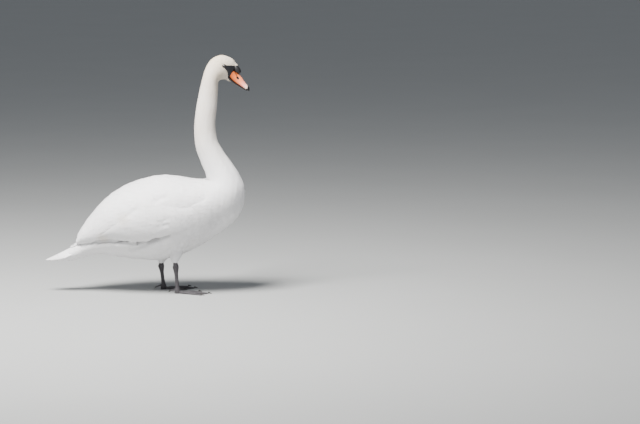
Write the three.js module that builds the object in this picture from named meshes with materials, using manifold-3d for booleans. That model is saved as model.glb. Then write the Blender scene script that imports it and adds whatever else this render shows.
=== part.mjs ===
// An adult mute swan standing with its neck raised, as a still life-size model in closed solids.
// Millimetres. +X is the way the bird faces, +Y is its left, +Z is up. The origin is on the ground, under the
// middle of its length. The solids carry the outline of the plumage, and neighbours stand GAP apart.
import * as THREE from "three";
import { mergeVertices } from "three/addons/utils/BufferGeometryUtils.js";
import Module from "manifold-3d";

const wasm = await Module();
wasm.setup();
const { clamp, degToRad, lerp, mapLinear, smoothstep } = THREE.MathUtils;

// ---------------------------------------------------------------- driving dimensions
const GAP = 0.3;
const SIDES = { right: -1, left: 1 };

// Flat cross-sections from the root of the bill over head, neck and trunk to the tail. back and front are the
// ends [x, z] of the section on the nape side and the throat side, half is half its width, and rise moves its
// widest line towards the back (+) or the front (-).
const BODY = [
  { back: [376.5, 931], front: [337, 865], half: 14, rise: -0.12 }, // inside the bill
  { back: [366.7, 936.5], front: [326.9, 870.5], half: 19, rise: -0.12 }, // root of the bill, square to it
  { back: [353, 954], front: [316, 873], half: 25, rise: -0.1 },
  { back: [333, 966], front: [306, 872], half: 30, rise: -0.06 }, // eye
  { back: [303, 972], front: [297, 868], half: 33.5, rise: -0.1 }, // crown
  { back: [267, 957], front: [292, 860], half: 34.5, rise: -0.12 }, // cheek
  { back: [243, 924], front: [291, 848], half: 34, rise: -0.04 },
  { back: [228, 880], front: [291, 832], half: 33, rise: 0 }, // nape
  { back: [216, 830], front: [289, 800], half: 33.5, rise: 0 },
  { back: [202, 758], front: [285, 748], half: 36, rise: 0 }, // upper neck
  { back: [194, 690], front: [280, 696], half: 38.5, rise: 0 },
  { back: [194, 640], front: [282, 656], half: 41, rise: 0 }, // middle of the neck
  { back: [199, 597], front: [290, 620], half: 45, rise: 0 },
  { back: [214, 551], front: [315, 574], half: 51, rise: 0 },
  { back: [228, 514], front: [347, 530], half: 60, rise: 0 }, // lower neck
  { back: [240, 484], front: [378, 482], half: 73, rise: 0.02 },
  { back: [243, 466], front: [398, 432], half: 90, rise: 0.03 }, // shoulders
  { back: [233, 464], front: [398, 377], half: 108, rise: 0.06 }, // breast
  { back: [212, 464], front: [374, 313], half: 124, rise: 0.08 },
  { back: [176, 466], front: [320, 261], half: 137, rise: 0.08 },
  { back: [127, 467], front: [248, 211], half: 147, rise: 0.06 },
  { back: [59, 460], front: [150, 159], half: 149, rise: 0.05 }, // keel
  { back: [-12, 436], front: [48, 132], half: 141, rise: 0.03 }, // belly
  { back: [-87, 390], front: [-41, 136], half: 124, rise: -0.02 },
  { back: [-163, 326], front: [-125, 146], half: 99, rise: -0.06 }, // vent
  { back: [-228, 260], front: [-203, 157], half: 70, rise: -0.08 },
  { back: [-283, 211], front: [-266, 140], half: 47, rise: 0 }, // root of the tail
  { back: [-330, 172], front: [-322, 126], half: 33, rise: 0 },
  { back: [-366, 150], front: [-362, 126], half: 21, rise: 0 },
  { back: [-388, 137], front: [-386, 126], half: 10, rise: 0 },
];
const FACE = 1; // stations where the whole is parted into head, neck lengths and trunk
const NECK_TOP = 7.5;
const NECK_UPPER = 9.6;
const NECK_LOWER = 12.2;
const NECK_ROOT = 15;
const PARTING = 0.006; // of a station: about GAP
const HEAD_AROUND = 18;
const TRUNK_AROUND = 22;

// The outside of the folded wings, in the same form, from the shoulders to the wing tips.
const FOLDED_WINGS = [
  { back: [238, 468], front: [399, 400], half: 99, rise: 0.1 },
  { back: [214, 468], front: [376, 316], half: 122, rise: 0.12 },
  { back: [177, 473], front: [322, 264], half: 142, rise: 0.11 },
  { back: [127, 480], front: [250, 212], half: 155, rise: 0.09 },
  { back: [58, 482], front: [150, 160], half: 162, rise: 0.05 },
  { back: [-12, 469], front: [50, 149], half: 162, rise: 0.03 },
  { back: [-88, 442], front: [-40, 157], half: 152, rise: 0.02 },
  { back: [-168, 391], front: [-122, 177], half: 127, rise: 0 },
  { back: [-239, 314], front: [-194, 186], half: 92, rise: -0.04 },
  { back: [-281, 254], front: [-249, 192], half: 62, rise: 0 },
  { back: [-301, 212], front: [-288, 190], half: 38, rise: 0 },
];
const WING_GRID = { along: 12, across: 6 };
// The blade of primaries: [x, y, z] along it, its half width and half thickness.
const PRIMARIES = {
  path: [[-150, 84, 256], [-210, 62, 230], [-270, 36, 204], [-319, 17, 181]],
  wide: 19,
  thick: 5,
  bank: 26, // degrees that its outer edge hangs
};
const TAIL = {
  root: [-290, 196],
  bend: [-340, 167],
  tip: [-422, 130],
  half: 42,
  droop: 24,
  thick: 8,
  notch: 0.03, // of its length, between two feather tips
};
const TAIL_GRID = { along: 6, across: 12 };

const EYE = { x: 316, z: 930, station: 3.35, radius: 6.5, bulge: 2.2 };
const BARE_FACE = {
  outline: [
    [318, 922], [326, 913], [330, 903], [331.5, 892], [331, 883], [332, 874], [326, 858],
    [400, 858], [400, 928], [368, 928], [338, 930], [318, 932],
  ],
  depth: 1.6,
};
// The bill's own frame has its origin at the corner of the mouth, with x along the bill and z square to it.
const BILL = { x: 336, z: 885.5, pitch: 31, knobFront: 34, knobOverlap: 4, nail: 88, jawTip: 93, tip: 99 };
const BILL_AROUND = 12;
// Heights along it: the knob's or the bill's own back, the knob's underside, the gape line and the lower edge.
const BILL_LINES = [
  { at: 0.4, top: 57, seam: 34, gape: 0.5, low: -9, half: 17.5 },
  { at: 8, top: 56.5, seam: 33, gape: -4, low: -13, half: 17.5 },
  { at: 18, top: 54.5, seam: 30, gape: -6.5, low: -15.5, half: 16.8 },
  { at: 27, top: 49.5, seam: 27, gape: -8, low: -16.5, half: 16 },
  { at: BILL.knobFront, top: 31, seam: 26.5, gape: -9, low: -17, half: 15.5 },
  { at: 48, top: 22.5, seam: 22, gape: -10, low: -17, half: 15 },
  { at: 64, top: 14.5, seam: 14, gape: -10.5, low: -16.5, half: 15.2 },
  { at: 80, top: 8, seam: 8, gape: -11, low: -15.5, half: 15.4 },
  { at: BILL.nail, top: 5.5, seam: 5.5, gape: -11, low: -14, half: 13.6 },
  { at: 95, top: 3.2, seam: 3.2, gape: -10.5, low: -12, half: 9.5 },
  { at: BILL.tip, top: -2.5, seam: -2.5, gape: -9.5, low: -10, half: 4 },
];
const NOSTRIL = { at: [35, 13.4, 12.5], size: [6, 3, 2.4], tilt: 24 };
const CHIN = { at: [1, 0, -12], size: [17, 10.5, 6] };

// thigh is [x, z, half depth] downwards from inside the belly; hock and foot are [x, z] of the joints.
const LEGS = {
  right: {
    thigh: [[126, 212, 40], [120, 180, 29], [117, 156, 24.5], [115, 140, 17], [115, 130, 10.5]],
    hock: [117, 108],
    foot: [124, 13],
    turn: -7,
  },
  left: {
    thigh: [[66, 200, 46], [60, 160, 38], [56, 133, 27], [53, 119, 16], [52, 112, 10.5]],
    hock: [51, 96],
    foot: [61, 13],
    turn: 7,
  },
};
const LEG_SPREAD = 60; // from the middle of the bird to each shank
const THIGH_WIDTH = 0.75; // of its depth
// Toes: length to the root of the claw, angle from the foot's own line (+ is outwards), and radius.
const TOES = {
  inner: { length: 92, angle: -27, radius: 6.2 },
  middle: { length: 128, angle: 0, radius: 6.8 },
  outer: { length: 118, angle: 25, radius: 6.2 },
};
const HIND_TOE = { start: -7, length: 24, radius: 4.2, height: 17, drop: 8 };
const CLAW = { length: 15, radius: 3.4, root: 1.6, tip: 0.3, hindShare: 0.62, hindRoot: 5.5 };
const WEB = { thickness: 2, hollow: 0.9 };
const KNUCKLE = [[0, 12.5, 11], [7, 13, 11.5], [15, 11.5, 10.5], [22, 9.5, 9]]; // [z, half depth, half width]

// ---------------------------------------------------------------- solids
/** A BufferGeometry from points and triangles, with its faces pointing out. */
function closedGeometry(points, triangles) {
  const volume = triangles.reduce((sum, [a, b, c]) => {
    const normal = new THREE.Vector3().crossVectors(points[b], points[c]);
    return sum + points[a].dot(normal);
  }, 0);
  const index = triangles.flatMap(([a, b, c]) => (volume < 0 ? [a, c, b] : [a, b, c]));
  return new THREE.BufferGeometry().setFromPoints(points).setIndex(index);
}

/** A closed tube through rings of equally many points, with a flat fan over each end. */
function throughRings(rings) {
  const around = rings[0].length;
  const points = rings.flat();
  const triangles = [];
  for (let i = 0; i + 1 < rings.length; i++)
    for (let j = 0; j < around; j++) {
      const [a, b] = [i * around + j, i * around + ((j + 1) % around)];
      triangles.push([a, b, a + around], [b, b + around, a + around]);
    }
  [0, rings.length - 1].forEach((i, end) => {
    const centre = new THREE.Vector3();
    rings[i].forEach((p) => centre.addScaledVector(p, 1 / around));
    const middle = points.push(centre) - 1;
    for (let j = 0; j < around; j++) {
      const [a, b] = [i * around + j, i * around + ((j + 1) % around)];
      triangles.push(end ? [middle, a, b] : [middle, b, a]);
    }
  });
  return closedGeometry(points, triangles);
}

/** A closed plate between two surfaces, outer(s, t) and inner(s, t), with s and t from 0 to 1. */
function plate(outer, inner, { along, across }) {
  const points = [];
  const layer = (surface) => {
    const first = points.length;
    for (let i = 0; i <= along; i++)
      for (let j = 0; j <= across; j++) points.push(surface(i / along, j / across));
    return (i, j) => first + i * (across + 1) + j;
  };
  const [top, under] = [layer(outer), layer(inner)];
  const triangles = [];
  const quad = (a, b, c, d) => triangles.push([a, b, c], [a, c, d]);
  for (let i = 0; i < along; i++)
    for (let j = 0; j < across; j++) {
      quad(top(i, j), top(i + 1, j), top(i + 1, j + 1), top(i, j + 1));
      quad(under(i, j), under(i, j + 1), under(i + 1, j + 1), under(i + 1, j));
    }
  for (let i = 0; i < along; i++) {
    quad(top(i, 0), under(i, 0), under(i + 1, 0), top(i + 1, 0));
    quad(top(i + 1, across), under(i + 1, across), under(i, across), top(i, across));
  }
  for (let j = 0; j < across; j++) {
    quad(top(0, j + 1), under(0, j + 1), under(0, j), top(0, j));
    quad(top(along, j), under(along, j), under(along, j + 1), top(along, j + 1));
  }
  return closedGeometry(points, triangles);
}

/** The geometry as a manifold-3d solid. */
function solid(geometry) {
  const bare = geometry.clone();
  bare.deleteAttribute("normal");
  bare.deleteAttribute("uv");
  const merged = mergeVertices(bare, 1e-4);
  return new wasm.Manifold(
    new wasm.Mesh({
      numProp: 3,
      vertProperties: merged.attributes.position.array,
      triVerts: new Uint32Array(merged.index.array),
    }),
  );
}

/** The largest body of a manifold-3d solid, as a geometry. */
function geometryOf(made) {
  const whole = made.decompose().reduce((a, b) => (a.volume() > b.volume() ? a : b));
  const { vertProperties, triVerts } = whole.getMesh();
  return new THREE.BufferGeometry()
    .setAttribute("position", new THREE.BufferAttribute(vertProperties, 3))
    .setIndex(new THREE.BufferAttribute(triVerts, 1));
}

/** The geometry less each of the others, which are already grown by GAP. */
const without = (geometry, ...others) =>
  geometryOf(others.reduce((rest, other) => rest.subtract(solid(other)), solid(geometry)));

/** The geometries joined into one. */
const joined = (first, ...others) =>
  geometryOf(others.reduce((whole, other) => whole.add(solid(other)), solid(first)));

/** A ring of points round a centre. up and side are the ends of its half axes. */
function ring(centre, up, side, count, rise = 0) {
  return Array.from({ length: count }, (_, j) => {
    const angle = (2 * Math.PI * j) / count;
    return centre
      .clone()
      .addScaledVector(up, Math.cos(angle))
      .addScaledVector(side, Math.sin(angle) * (1 + rise * Math.cos(angle)));
  });
}
/** A level ring round an upright limb. */
const levelRing = (x, y, z, deep, wide, count) =>
  ring(new THREE.Vector3(x, y, z), new THREE.Vector3(deep, 0, 0), new THREE.Vector3(0, wide, 0), count);

/** An ellipsoid of half axes size, tilted about y and moved to a place. */
const ellipsoid = ([x, y, z], [a, b, c], tilt = 0) =>
  new THREE.SphereGeometry(1, 8, 5).scale(a, b, c).rotateY(degToRad(tilt)).translate(x, y, z);

// ---------------------------------------------------------------- the body's form
/** A smooth form through a table of flat cross-sections. */
class Form {
  constructor(table) {
    const through = (pick) => new THREE.CatmullRomCurve3(table.map(pick), false, "centripetal");
    this.last = table.length - 1;
    this.back = through(({ back: [x, z] }) => new THREE.Vector3(x, 0, z));
    this.front = through(({ front: [x, z] }) => new THREE.Vector3(x, 0, z));
    this.girth = through(({ half, rise }) => new THREE.Vector3(half, 100 * rise, 0));
  }

  /** The cross-section at a station, inset towards its middle. */
  section(station, inset) {
    const t = clamp(station / this.last, 0, 1);
    const [back, front, girth] = [this.back, this.front, this.girth].map((curve) => curve.getPoint(t));
    const centre = back.clone().add(front).multiplyScalar(0.5);
    const up = back.sub(front).multiplyScalar(0.5);
    up.setLength(up.length() - inset);
    return { centre, up, half: girth.x - inset, rise: girth.y / 100 };
  }

  /** The point at angle v: 0 along the back, a quarter turn on the left flank and a half turn in front. */
  point(station, v, inset = 0) {
    const { centre, up, half, rise } = this.section(station, inset);
    const side = half * Math.sin(v) * (1 + rise * Math.cos(v));
    return centre.addScaledVector(up, Math.cos(v)).add(new THREE.Vector3(0, side, 0));
  }

  /** The closed stretch between two stations. */
  stretch(from, to, steps, around, inset = 0) {
    const rings = Array.from({ length: steps + 1 }, (_, i) => {
      const { centre, up, half, rise } = this.section(lerp(from, to, i / steps), inset);
      return ring(centre, up, new THREE.Vector3(0, half, 0), around, rise);
    });
    return throughRings(rings);
  }
}
const body = new Form(BODY);
const wings = new Form(FOLDED_WINGS);

// ---------------------------------------------------------------- materials and naming
const paint = (color, roughness) => new THREE.MeshStandardMaterial({ color, roughness, metalness: 0 });
const PLUMAGE = paint(0xf4f2ee, 0.85);
const NECK_PLUMAGE = paint(0xefe9de, 0.88);
const FLIGHT = paint(0xf7f5f2, 0.75);
const BARE_SKIN = paint(0x1c1d22, 0.6);
const ORANGE = paint(0xe98a55, 0.45);
const LEG = paint(0x3a3a3f, 0.65);
const EYE_BALL = paint(0x120c0a, 0.1);

const swan = new THREE.Group();
/** Adds one named piece to the swan or to a group of it. */
function add(name, geometry, material, parent = swan) {
  const mesh = new THREE.Mesh(geometry, material);
  mesh.name = name;
  parent.add(mesh);
}

// ---------------------------------------------------------------- bill
const bill = new THREE.Group();
bill.position.set(BILL.x, 0, BILL.z);
bill.rotation.y = degToRad(BILL.pitch);
bill.updateMatrix();
swan.add(bill);

/** One of BILL_LINES' values at a distance along the bill. */
function billLine(key, at) {
  const next = Math.max(1, BILL_LINES.findIndex((line) => line.at >= at));
  const [a, b] = [BILL_LINES[next - 1], BILL_LINES[next]];
  return mapLinear(at, a.at, b.at, a[key], b[key]);
}
/** A length of the bill between two lines, grown all round. squeeze narrows it, rise moves its widest line. */
function billLength(from, to, topKey, lowKey, { steps, squeeze = 1, rise = -0.3, overlap = 0, grow = 0 }) {
  const rings = Array.from({ length: steps + 1 }, (_, i) => {
    const at = lerp(from, to, i / steps);
    const [top, low] = [billLine(topKey, at) + grow, billLine(lowKey, at) - overlap - grow];
    const centre = new THREE.Vector3(at + (i ? grow : -grow), 0, (top + low) / 2);
    const up = new THREE.Vector3(0, 0, (top - low) / 2);
    const side = new THREE.Vector3(0, squeeze * billLine("half", at) + grow, 0);
    return ring(centre, up, side, BILL_AROUND, rise);
  });
  return throughRings(rings);
}
const root = BILL_LINES[0].at;
const upperBill = (grow) => billLength(root, BILL.nail, "seam", "gape", { steps: 9, grow });
const lowerBill = (grow) => {
  const shape = { steps: 8, squeeze: 0.84, rise: 0.35, grow };
  return billLength(root, BILL.jawTip, "gape", "low", shape);
};
const knob = (grow) => {
  const shape = { steps: 7, squeeze: 0.92, rise: 0, overlap: BILL.knobOverlap, grow };
  return billLength(root, BILL.knobFront - 1, "top", "seam", shape);
};
const nail = billLength(BILL.nail + GAP, BILL.tip, "seam", "gape", { steps: 4, overlap: 1 });
const nostrils = Object.values(SIDES).map((side) => {
  const [x, y, z] = NOSTRIL.at;
  return ellipsoid([x, side * y, z], NOSTRIL.size, NOSTRIL.tilt);
});
add("bill_upper", without(upperBill(0), knob(GAP), ...nostrils), ORANGE, bill);
add("bill_knob", knob(0), BARE_SKIN, bill);
add("bill_lower", without(lowerBill(0), upperBill(GAP)), BARE_SKIN, bill);
add("bill_nail", without(nail, lowerBill(GAP)), BARE_SKIN, bill);

// ---------------------------------------------------------------- eyes and bare face
/** Centre of the eyeball, sunk so that only its bulge stands out of the head. */
function eyeCentre(side) {
  const { centre, up } = body.section(EYE.station, 0);
  const surface = body.point(EYE.station, Math.acos((EYE.z - centre.z) / up.z));
  return [EYE.x, side * (surface.y - EYE.radius + EYE.bulge), EYE.z];
}
const eyeBall = (side, grow = 0) =>
  new THREE.IcosahedronGeometry(EYE.radius + grow, 2).translate(...eyeCentre(side));

const headStretch = (inset, reach) =>
  body.stretch(FACE - reach, NECK_TOP + reach, 12, HEAD_AROUND, inset);
/** The bare black skin between bill and eye: a shallow layer of the head's side, within BARE_FACE's outline. */
function bareFace(side, grow) {
  const outline = new THREE.Shape(BARE_FACE.outline.map(([x, z]) => new THREE.Vector2(x, z)));
  const shape = { depth: 60, bevelThickness: 1, bevelSize: 0, bevelOffset: grow, bevelSegments: 1 };
  const wedge = new THREE.ExtrudeGeometry(outline, shape).rotateX(Math.PI / 2);
  wedge.translate(0, side > 0 ? shape.depth + 2 : -2, 0);
  const layer = without(headStretch(-grow, grow), headStretch(BARE_FACE.depth + grow, 0.2 + grow));
  return geometryOf(solid(layer).intersect(solid(wedge)));
}

// ---------------------------------------------------------------- head, neck and trunk
const chin = ellipsoid(CHIN.at, CHIN.size).applyMatrix4(bill.matrix);
const clearOfBill = [upperBill(GAP), lowerBill(GAP)].map((piece) => piece.applyMatrix4(bill.matrix));
const faceParts = Object.values(SIDES).flatMap((side) => [eyeBall(side, GAP), bareFace(side, GAP)]);
const feathered = without(joined(headStretch(0, 0), chin), ...clearOfBill, ...faceParts);
add("head", feathered, NECK_PLUMAGE);
for (const [name, side] of Object.entries(SIDES)) {
  add(`eye_${name}`, eyeBall(side), EYE_BALL);
  add(`lore_${name}`, without(bareFace(side, 0), eyeBall(side, GAP), ...clearOfBill), BARE_SKIN);
}
add("neck_upper", body.stretch(NECK_TOP + PARTING, NECK_UPPER, 5, HEAD_AROUND), NECK_PLUMAGE);
add("neck_middle", body.stretch(NECK_UPPER + PARTING, NECK_LOWER, 6, HEAD_AROUND), NECK_PLUMAGE);
add("neck_lower", body.stretch(NECK_LOWER + PARTING, NECK_ROOT, 6, HEAD_AROUND), NECK_PLUMAGE);
const trunk = (inset) => body.stretch(NECK_ROOT + PARTING, body.last, 18, TRUNK_AROUND, inset);
add("trunk", trunk(0), PLUMAGE);

// ---------------------------------------------------------------- folded wings
/** A smooth run through values spaced evenly from 0 to 1. */
function run(...values) {
  const curve = new THREE.SplineCurve(values.map((value, i) => new THREE.Vector2(i, value)));
  return (s) => curve.getPoint(clamp(s, 0, 1)).y;
}
/** 1 at a border, falling to 0 at this share of the way in. */
const nearBorder = (distance, share) => Math.max(0, 1 - distance / share) ** 2;

// Each part runs between two stations of the folded wings and two angles from the middle of the back. sunk is
// how far it lies under their outside, thick its thickness along its middle, edge that of its borders.
const SCAPULARS = {
  from: 0.5,
  to: 9.9,
  upper: run(0.2, 0.07, 0.06, 0.06, 0.06, 0.08, 0.12, 0.2, 0.3, 0.42),
  lower: run(0.85, 1.27, 1.355, 1.29, 1.12, 1.25, 1.38, 1.54, 1.84, 1.7),
  sunk: (s, t) => 16 * nearBorder(s, 0.14) + 3 * nearBorder(1 - t, 0.2) + 3 * nearBorder(t, 0.12),
  thick: (s) => 24 * (1 - s ** 2),
  edge: 3,
};
const COVERTS = {
  from: 1.5,
  to: 9.3,
  upper: run(0.8, 0.8, 0.8, 0.8, 0.8, 0.85, 1.0),
  lower: run(1.6, 1.86, 2.0, 2.1, 2.2, 2.1, 1.89, 1.75),
  sunk: (s, t) => {
    const shelf = 1.5 + 7 * (1 - smoothstep(t, 0.4, 0.8)); // under the scapulars' edge
    const tuckedIn = 24 * nearBorder(s, 0.2) + 18 * nearBorder(1 - t, 0.3) * nearBorder(s, 0.6);
    return shelf + tuckedIn + 2 * nearBorder(1 - t, 0.2);
  },
  thick: (s) => 24 * (1 - s ** 2),
  edge: 3,
};
/** A part of one folded wing, grown by a gap. */
function wingPart(side, { from, to, upper, lower, sunk, thick, edge }, grow = 0) {
  const spread = grow / 90; // the gap in stations and in radians
  const at = (depth) => (i, j) => {
    const [s, t] = [i, j].map((share) => (1 - Math.cos(Math.PI * share)) / 2); // finer towards the borders
    const station = lerp(from - spread, to + spread, s);
    const angle = lerp(upper(s) - spread, lower(s) + spread, t);
    return wings.point(station, side * angle, depth(s, t));
  };
  const fill = (s, t) => (thick(s) - edge) * Math.sin(Math.PI * t) ** 0.6 * (1 - nearBorder(1 - s, 0.15));
  const outer = at((s, t) => sunk(s, t) - grow);
  const inner = at((s, t) => sunk(s, t) + edge + grow + Math.max(0, fill(s, t)));
  return plate(outer, inner, WING_GRID);
}
const scapulars = (side, grow) => wingPart(side, SCAPULARS, grow);
const coverts = (side, grow) => wingPart(side, COVERTS, grow);

/** The tips of the longest wing feathers: a blade that runs under the scapulars and over the tail's root. */
function primaries(side, grow = 0) {
  const path = new THREE.CatmullRomCurve3(PRIMARIES.path.map(([x, y, z]) => new THREE.Vector3(x, side * y, z)));
  const bank = degToRad(PRIMARIES.bank);
  const steps = 8;
  const rings = Array.from({ length: steps + 1 }, (_, i) => {
    const t = i / steps;
    const taper = Math.sqrt(1 - 0.97 * t ** 3);
    const across = new THREE.Vector3(0, side * Math.cos(bank), -Math.sin(bank));
    const tangent = path.getTangent(t);
    const up = new THREE.Vector3().crossVectors(tangent, across).setLength(PRIMARIES.thick * taper + grow);
    const centre = path.getPoint(t).addScaledVector(tangent, i === steps ? grow : 0);
    return ring(centre, up, across.setLength(PRIMARIES.wide * taper + grow), 8);
  });
  return throughRings(rings);
}

for (const [name, side] of Object.entries(SIDES)) {
  add(`wing_${name}_scapulars`, without(scapulars(side), trunk(-GAP)), FLIGHT);
  add(`wing_${name}_coverts`, without(coverts(side), trunk(-GAP), scapulars(side, GAP)), FLIGHT);
  const clear = [trunk(-GAP), scapulars(side, GAP), coverts(side, GAP)];
  add(`wing_${name}_primaries`, without(primaries(side), ...clear), FLIGHT);
}

// ---------------------------------------------------------------- tail
const tailRidge = new THREE.QuadraticBezierCurve(
  new THREE.Vector2(...TAIL.root),
  new THREE.Vector2(...TAIL.bend),
  new THREE.Vector2(...TAIL.tip),
);
/** Surface of the closed tail at a depth: s runs to the tip and t from edge to edge, drooping towards both. */
const tailSurface = (depth) => (s, t) => {
  const across = 2 * t - 1;
  const feather = Math.abs(Math.sin((Math.PI * TAIL_GRID.across * t) / 2)); // 1 between two feather tips
  const reach = s * Math.sqrt(1 - 0.5 * across ** 2) - TAIL.notch * s * feather; // outer feathers are shorter
  const { x, y: z } = tailRidge.getPoint(reach);
  const half = TAIL.half * Math.sqrt(0.55 + 0.9 * s - 1.2 * s ** 3);
  const drop = TAIL.droop * across ** 2 * (1 - 0.25 * s);
  return new THREE.Vector3(x, across * half, z - drop - depth * (1 - 0.75 * s) * (1 - 0.5 * across ** 2));
};
const wingTips = Object.values(SIDES).flatMap((side) => [scapulars(side, GAP), primaries(side, GAP)]);
const tail = plate(tailSurface(0), tailSurface(TAIL.thick), TAIL_GRID);
add("tail", without(tail, trunk(-GAP), ...wingTips), FLIGHT);

// ---------------------------------------------------------------- legs
/** The feathered thigh, from inside the belly down to its cuff above the hock. */
function thigh(leg, side) {
  const rings = leg.thigh.map(([x, z, deep]) =>
    levelRing(x, side * LEG_SPREAD, z, deep, THIGH_WIDTH * deep + 3, 14),
  );
  return throughRings(rings);
}
/** The bare shank: the hock's thick joint, a slim shaft and the joint with the toes. */
function shank({ thigh: rounds, hock, foot }, side) {
  const [cuffX, cuffZ] = rounds[rounds.length - 1];
  const down = (share) => [0, 1].map((k) => lerp(hock[k], foot[k], share));
  const stations = [
    [cuffX, cuffZ - GAP, 8.5, 7.5],
    [hock[0] + 0.5, hock[1] + 7, 11.5, 9.5],
    [...hock, 13, 10.5],
    [...down(0.14), 10.5, 8.5],
    [...down(0.3), 8, 6.5],
    [...down(0.6), 7.5, 6],
    [...down(0.86), 8.5, 7.5],
    [...foot, 9.5, 9],
  ];
  return throughRings(stations.map(([x, z, deep, wide]) => levelRing(x, side * LEG_SPREAD, z, deep, wide, 12)));
}

// ---------------------------------------------------------------- feet
/** A toe's direction over the ground, in the foot's own frame. */
function toeDirection({ angle }, side) {
  const turned = degToRad(angle) * side;
  return new THREE.Vector3(Math.cos(turned), Math.sin(turned), 0);
}
/** A toe flat on the ground, slightly swollen at its joints. */
function toe(spec, side) {
  const direction = toeDirection(spec, side);
  const square = new THREE.Vector3(-direction.y, direction.x, 0);
  const steps = 6;
  const rings = Array.from({ length: steps + 1 }, (_, i) => {
    const t = i / steps;
    const radius = spec.radius * (1 - 0.42 * t) * (1 + 0.09 * Math.cos(steps * Math.PI * t));
    const centre = direction.clone().multiplyScalar(spec.length * t).setZ(0.7 * radius);
    const round = ring(centre, new THREE.Vector3(0, 0, radius), square.clone().setLength(radius), 8);
    round.forEach((p) => p.setZ(Math.max(p.z, 0)));
    return round;
  });
  return throughRings(rings);
}
/** The web between two toes, with a hollow front edge. */
function web(one, other, side) {
  const [a, b] = [one, other].map((spec) => toeDirection(spec, side).multiplyScalar(spec.length));
  const hollow = a.clone().add(b).multiplyScalar(WEB.hollow / 2);
  const outline = new THREE.Shape().moveTo(0, 0).lineTo(a.x, a.y);
  outline.quadraticCurveTo(hollow.x, hollow.y, b.x, b.y).lineTo(0, 0);
  return new THREE.ExtrudeGeometry(outline, { depth: WEB.thickness, bevelEnabled: false, curveSegments: 6 });
}
/** The small hind toe, which hangs clear of the ground. */
function hindToe() {
  const steps = 4;
  const rings = Array.from({ length: steps + 1 }, (_, i) => {
    const t = i / steps;
    const radius = HIND_TOE.radius * (1 - 0.35 * t);
    const height = HIND_TOE.height - HIND_TOE.drop * t ** 1.5;
    const centre = new THREE.Vector3(HIND_TOE.start - HIND_TOE.length * t, 0, height);
    return ring(centre, new THREE.Vector3(0, 0, radius), new THREE.Vector3(0, radius, 0), 8);
  });
  return throughRings(rings);
}
/** A claw that curves down from a toe's end, almost to the ground. */
function claw(start, direction, height) {
  const steps = 3;
  const rings = Array.from({ length: steps + 1 }, (_, i) => {
    const t = i / steps;
    const radius = CLAW.radius * (1 - t) ** 0.7 + CLAW.tip;
    const centre = start.clone().addScaledVector(direction, CLAW.length * t);
    centre.z = height * (1 - t ** 2) + radius + CLAW.tip;
    const across = new THREE.Vector3(-direction.y, direction.x, 0).setLength(0.8 * radius);
    return ring(centre, new THREE.Vector3(0, 0, radius), across, 6);
  });
  return throughRings(rings);
}

for (const [name, side] of Object.entries(SIDES)) {
  const leg = LEGS[name];
  add(`thigh_${name}`, without(thigh(leg, side), trunk(-GAP)), PLUMAGE);

  const foot = new THREE.Group();
  foot.position.set(leg.foot[0], side * LEG_SPREAD, 0);
  foot.rotation.z = degToRad(leg.turn);
  swan.add(foot);
  const knuckle = throughRings(KNUCKLE.map(([z, deep, wide]) => levelRing(0, 0, z, deep, wide, 12)));
  const toes = Object.values(TOES).map((spec) => toe(spec, side));
  const webs = [web(TOES.inner, TOES.middle, side), web(TOES.middle, TOES.outer, side)];
  add(`foot_${name}`, joined(knuckle, ...toes, ...webs, hindToe()), LEG, foot);

  for (const [which, spec] of Object.entries(TOES)) {
    const direction = toeDirection(spec, side);
    const start = direction.clone().multiplyScalar(spec.length + GAP);
    add(`claw_${name}_${which}`, claw(start, direction, CLAW.root), LEG, foot);
  }
  const hindEnd = new THREE.Vector3(HIND_TOE.start - HIND_TOE.length - GAP, 0, 0);
  const backwards = new THREE.Vector3(-CLAW.hindShare, 0, 0);
  add(`claw_${name}_hind`, claw(hindEnd, backwards, CLAW.hindRoot), LEG, foot);

  const footTop = KNUCKLE[KNUCKLE.length - 1][0] + GAP;
  const below = new THREE.BoxGeometry(60, 60, footTop).translate(leg.foot[0], side * LEG_SPREAD, footTop / 2);
  add(`shank_${name}`, without(shank(leg, side), below), LEG);
}

export default swan;
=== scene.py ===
from math import cos, radians, sin

import bpy
import numpy as np
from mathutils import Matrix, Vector


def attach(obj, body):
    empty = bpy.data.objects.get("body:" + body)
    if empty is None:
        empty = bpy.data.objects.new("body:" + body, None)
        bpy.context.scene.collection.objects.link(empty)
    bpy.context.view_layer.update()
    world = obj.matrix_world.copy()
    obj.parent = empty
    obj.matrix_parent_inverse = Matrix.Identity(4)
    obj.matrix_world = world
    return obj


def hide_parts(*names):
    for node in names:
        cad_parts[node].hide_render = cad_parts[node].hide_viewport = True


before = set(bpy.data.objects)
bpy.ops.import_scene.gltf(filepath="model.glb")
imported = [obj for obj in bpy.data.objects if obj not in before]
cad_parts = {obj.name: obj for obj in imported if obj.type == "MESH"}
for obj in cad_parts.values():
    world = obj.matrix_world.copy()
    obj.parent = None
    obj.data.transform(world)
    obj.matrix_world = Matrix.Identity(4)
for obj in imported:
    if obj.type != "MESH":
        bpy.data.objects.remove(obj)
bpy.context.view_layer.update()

# An adult mute swan standing with its neck raised. Sizes are in metres, written as millimetres times MM.
MM = 0.001

# ---------------------------------------------------------------------------- studio
# The bird stands on a wide pale floor under one broad soft light, which hangs above its right side towards
# the tail, with a weak fill from in front. The camera stands far off on its right, a little above its back.
AIM = Vector((0.707, 0, 0.328))
DISTANCE = 12.0
CAMERA_RISE = radians(7)  # how steeply it looks down
FIELD = 2.624  # width of the view at the bird
LIT = Vector((0.05, 0, 0.4))  # the place that the lights are turned to
SKY_STRENGTH = 0.35

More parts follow.
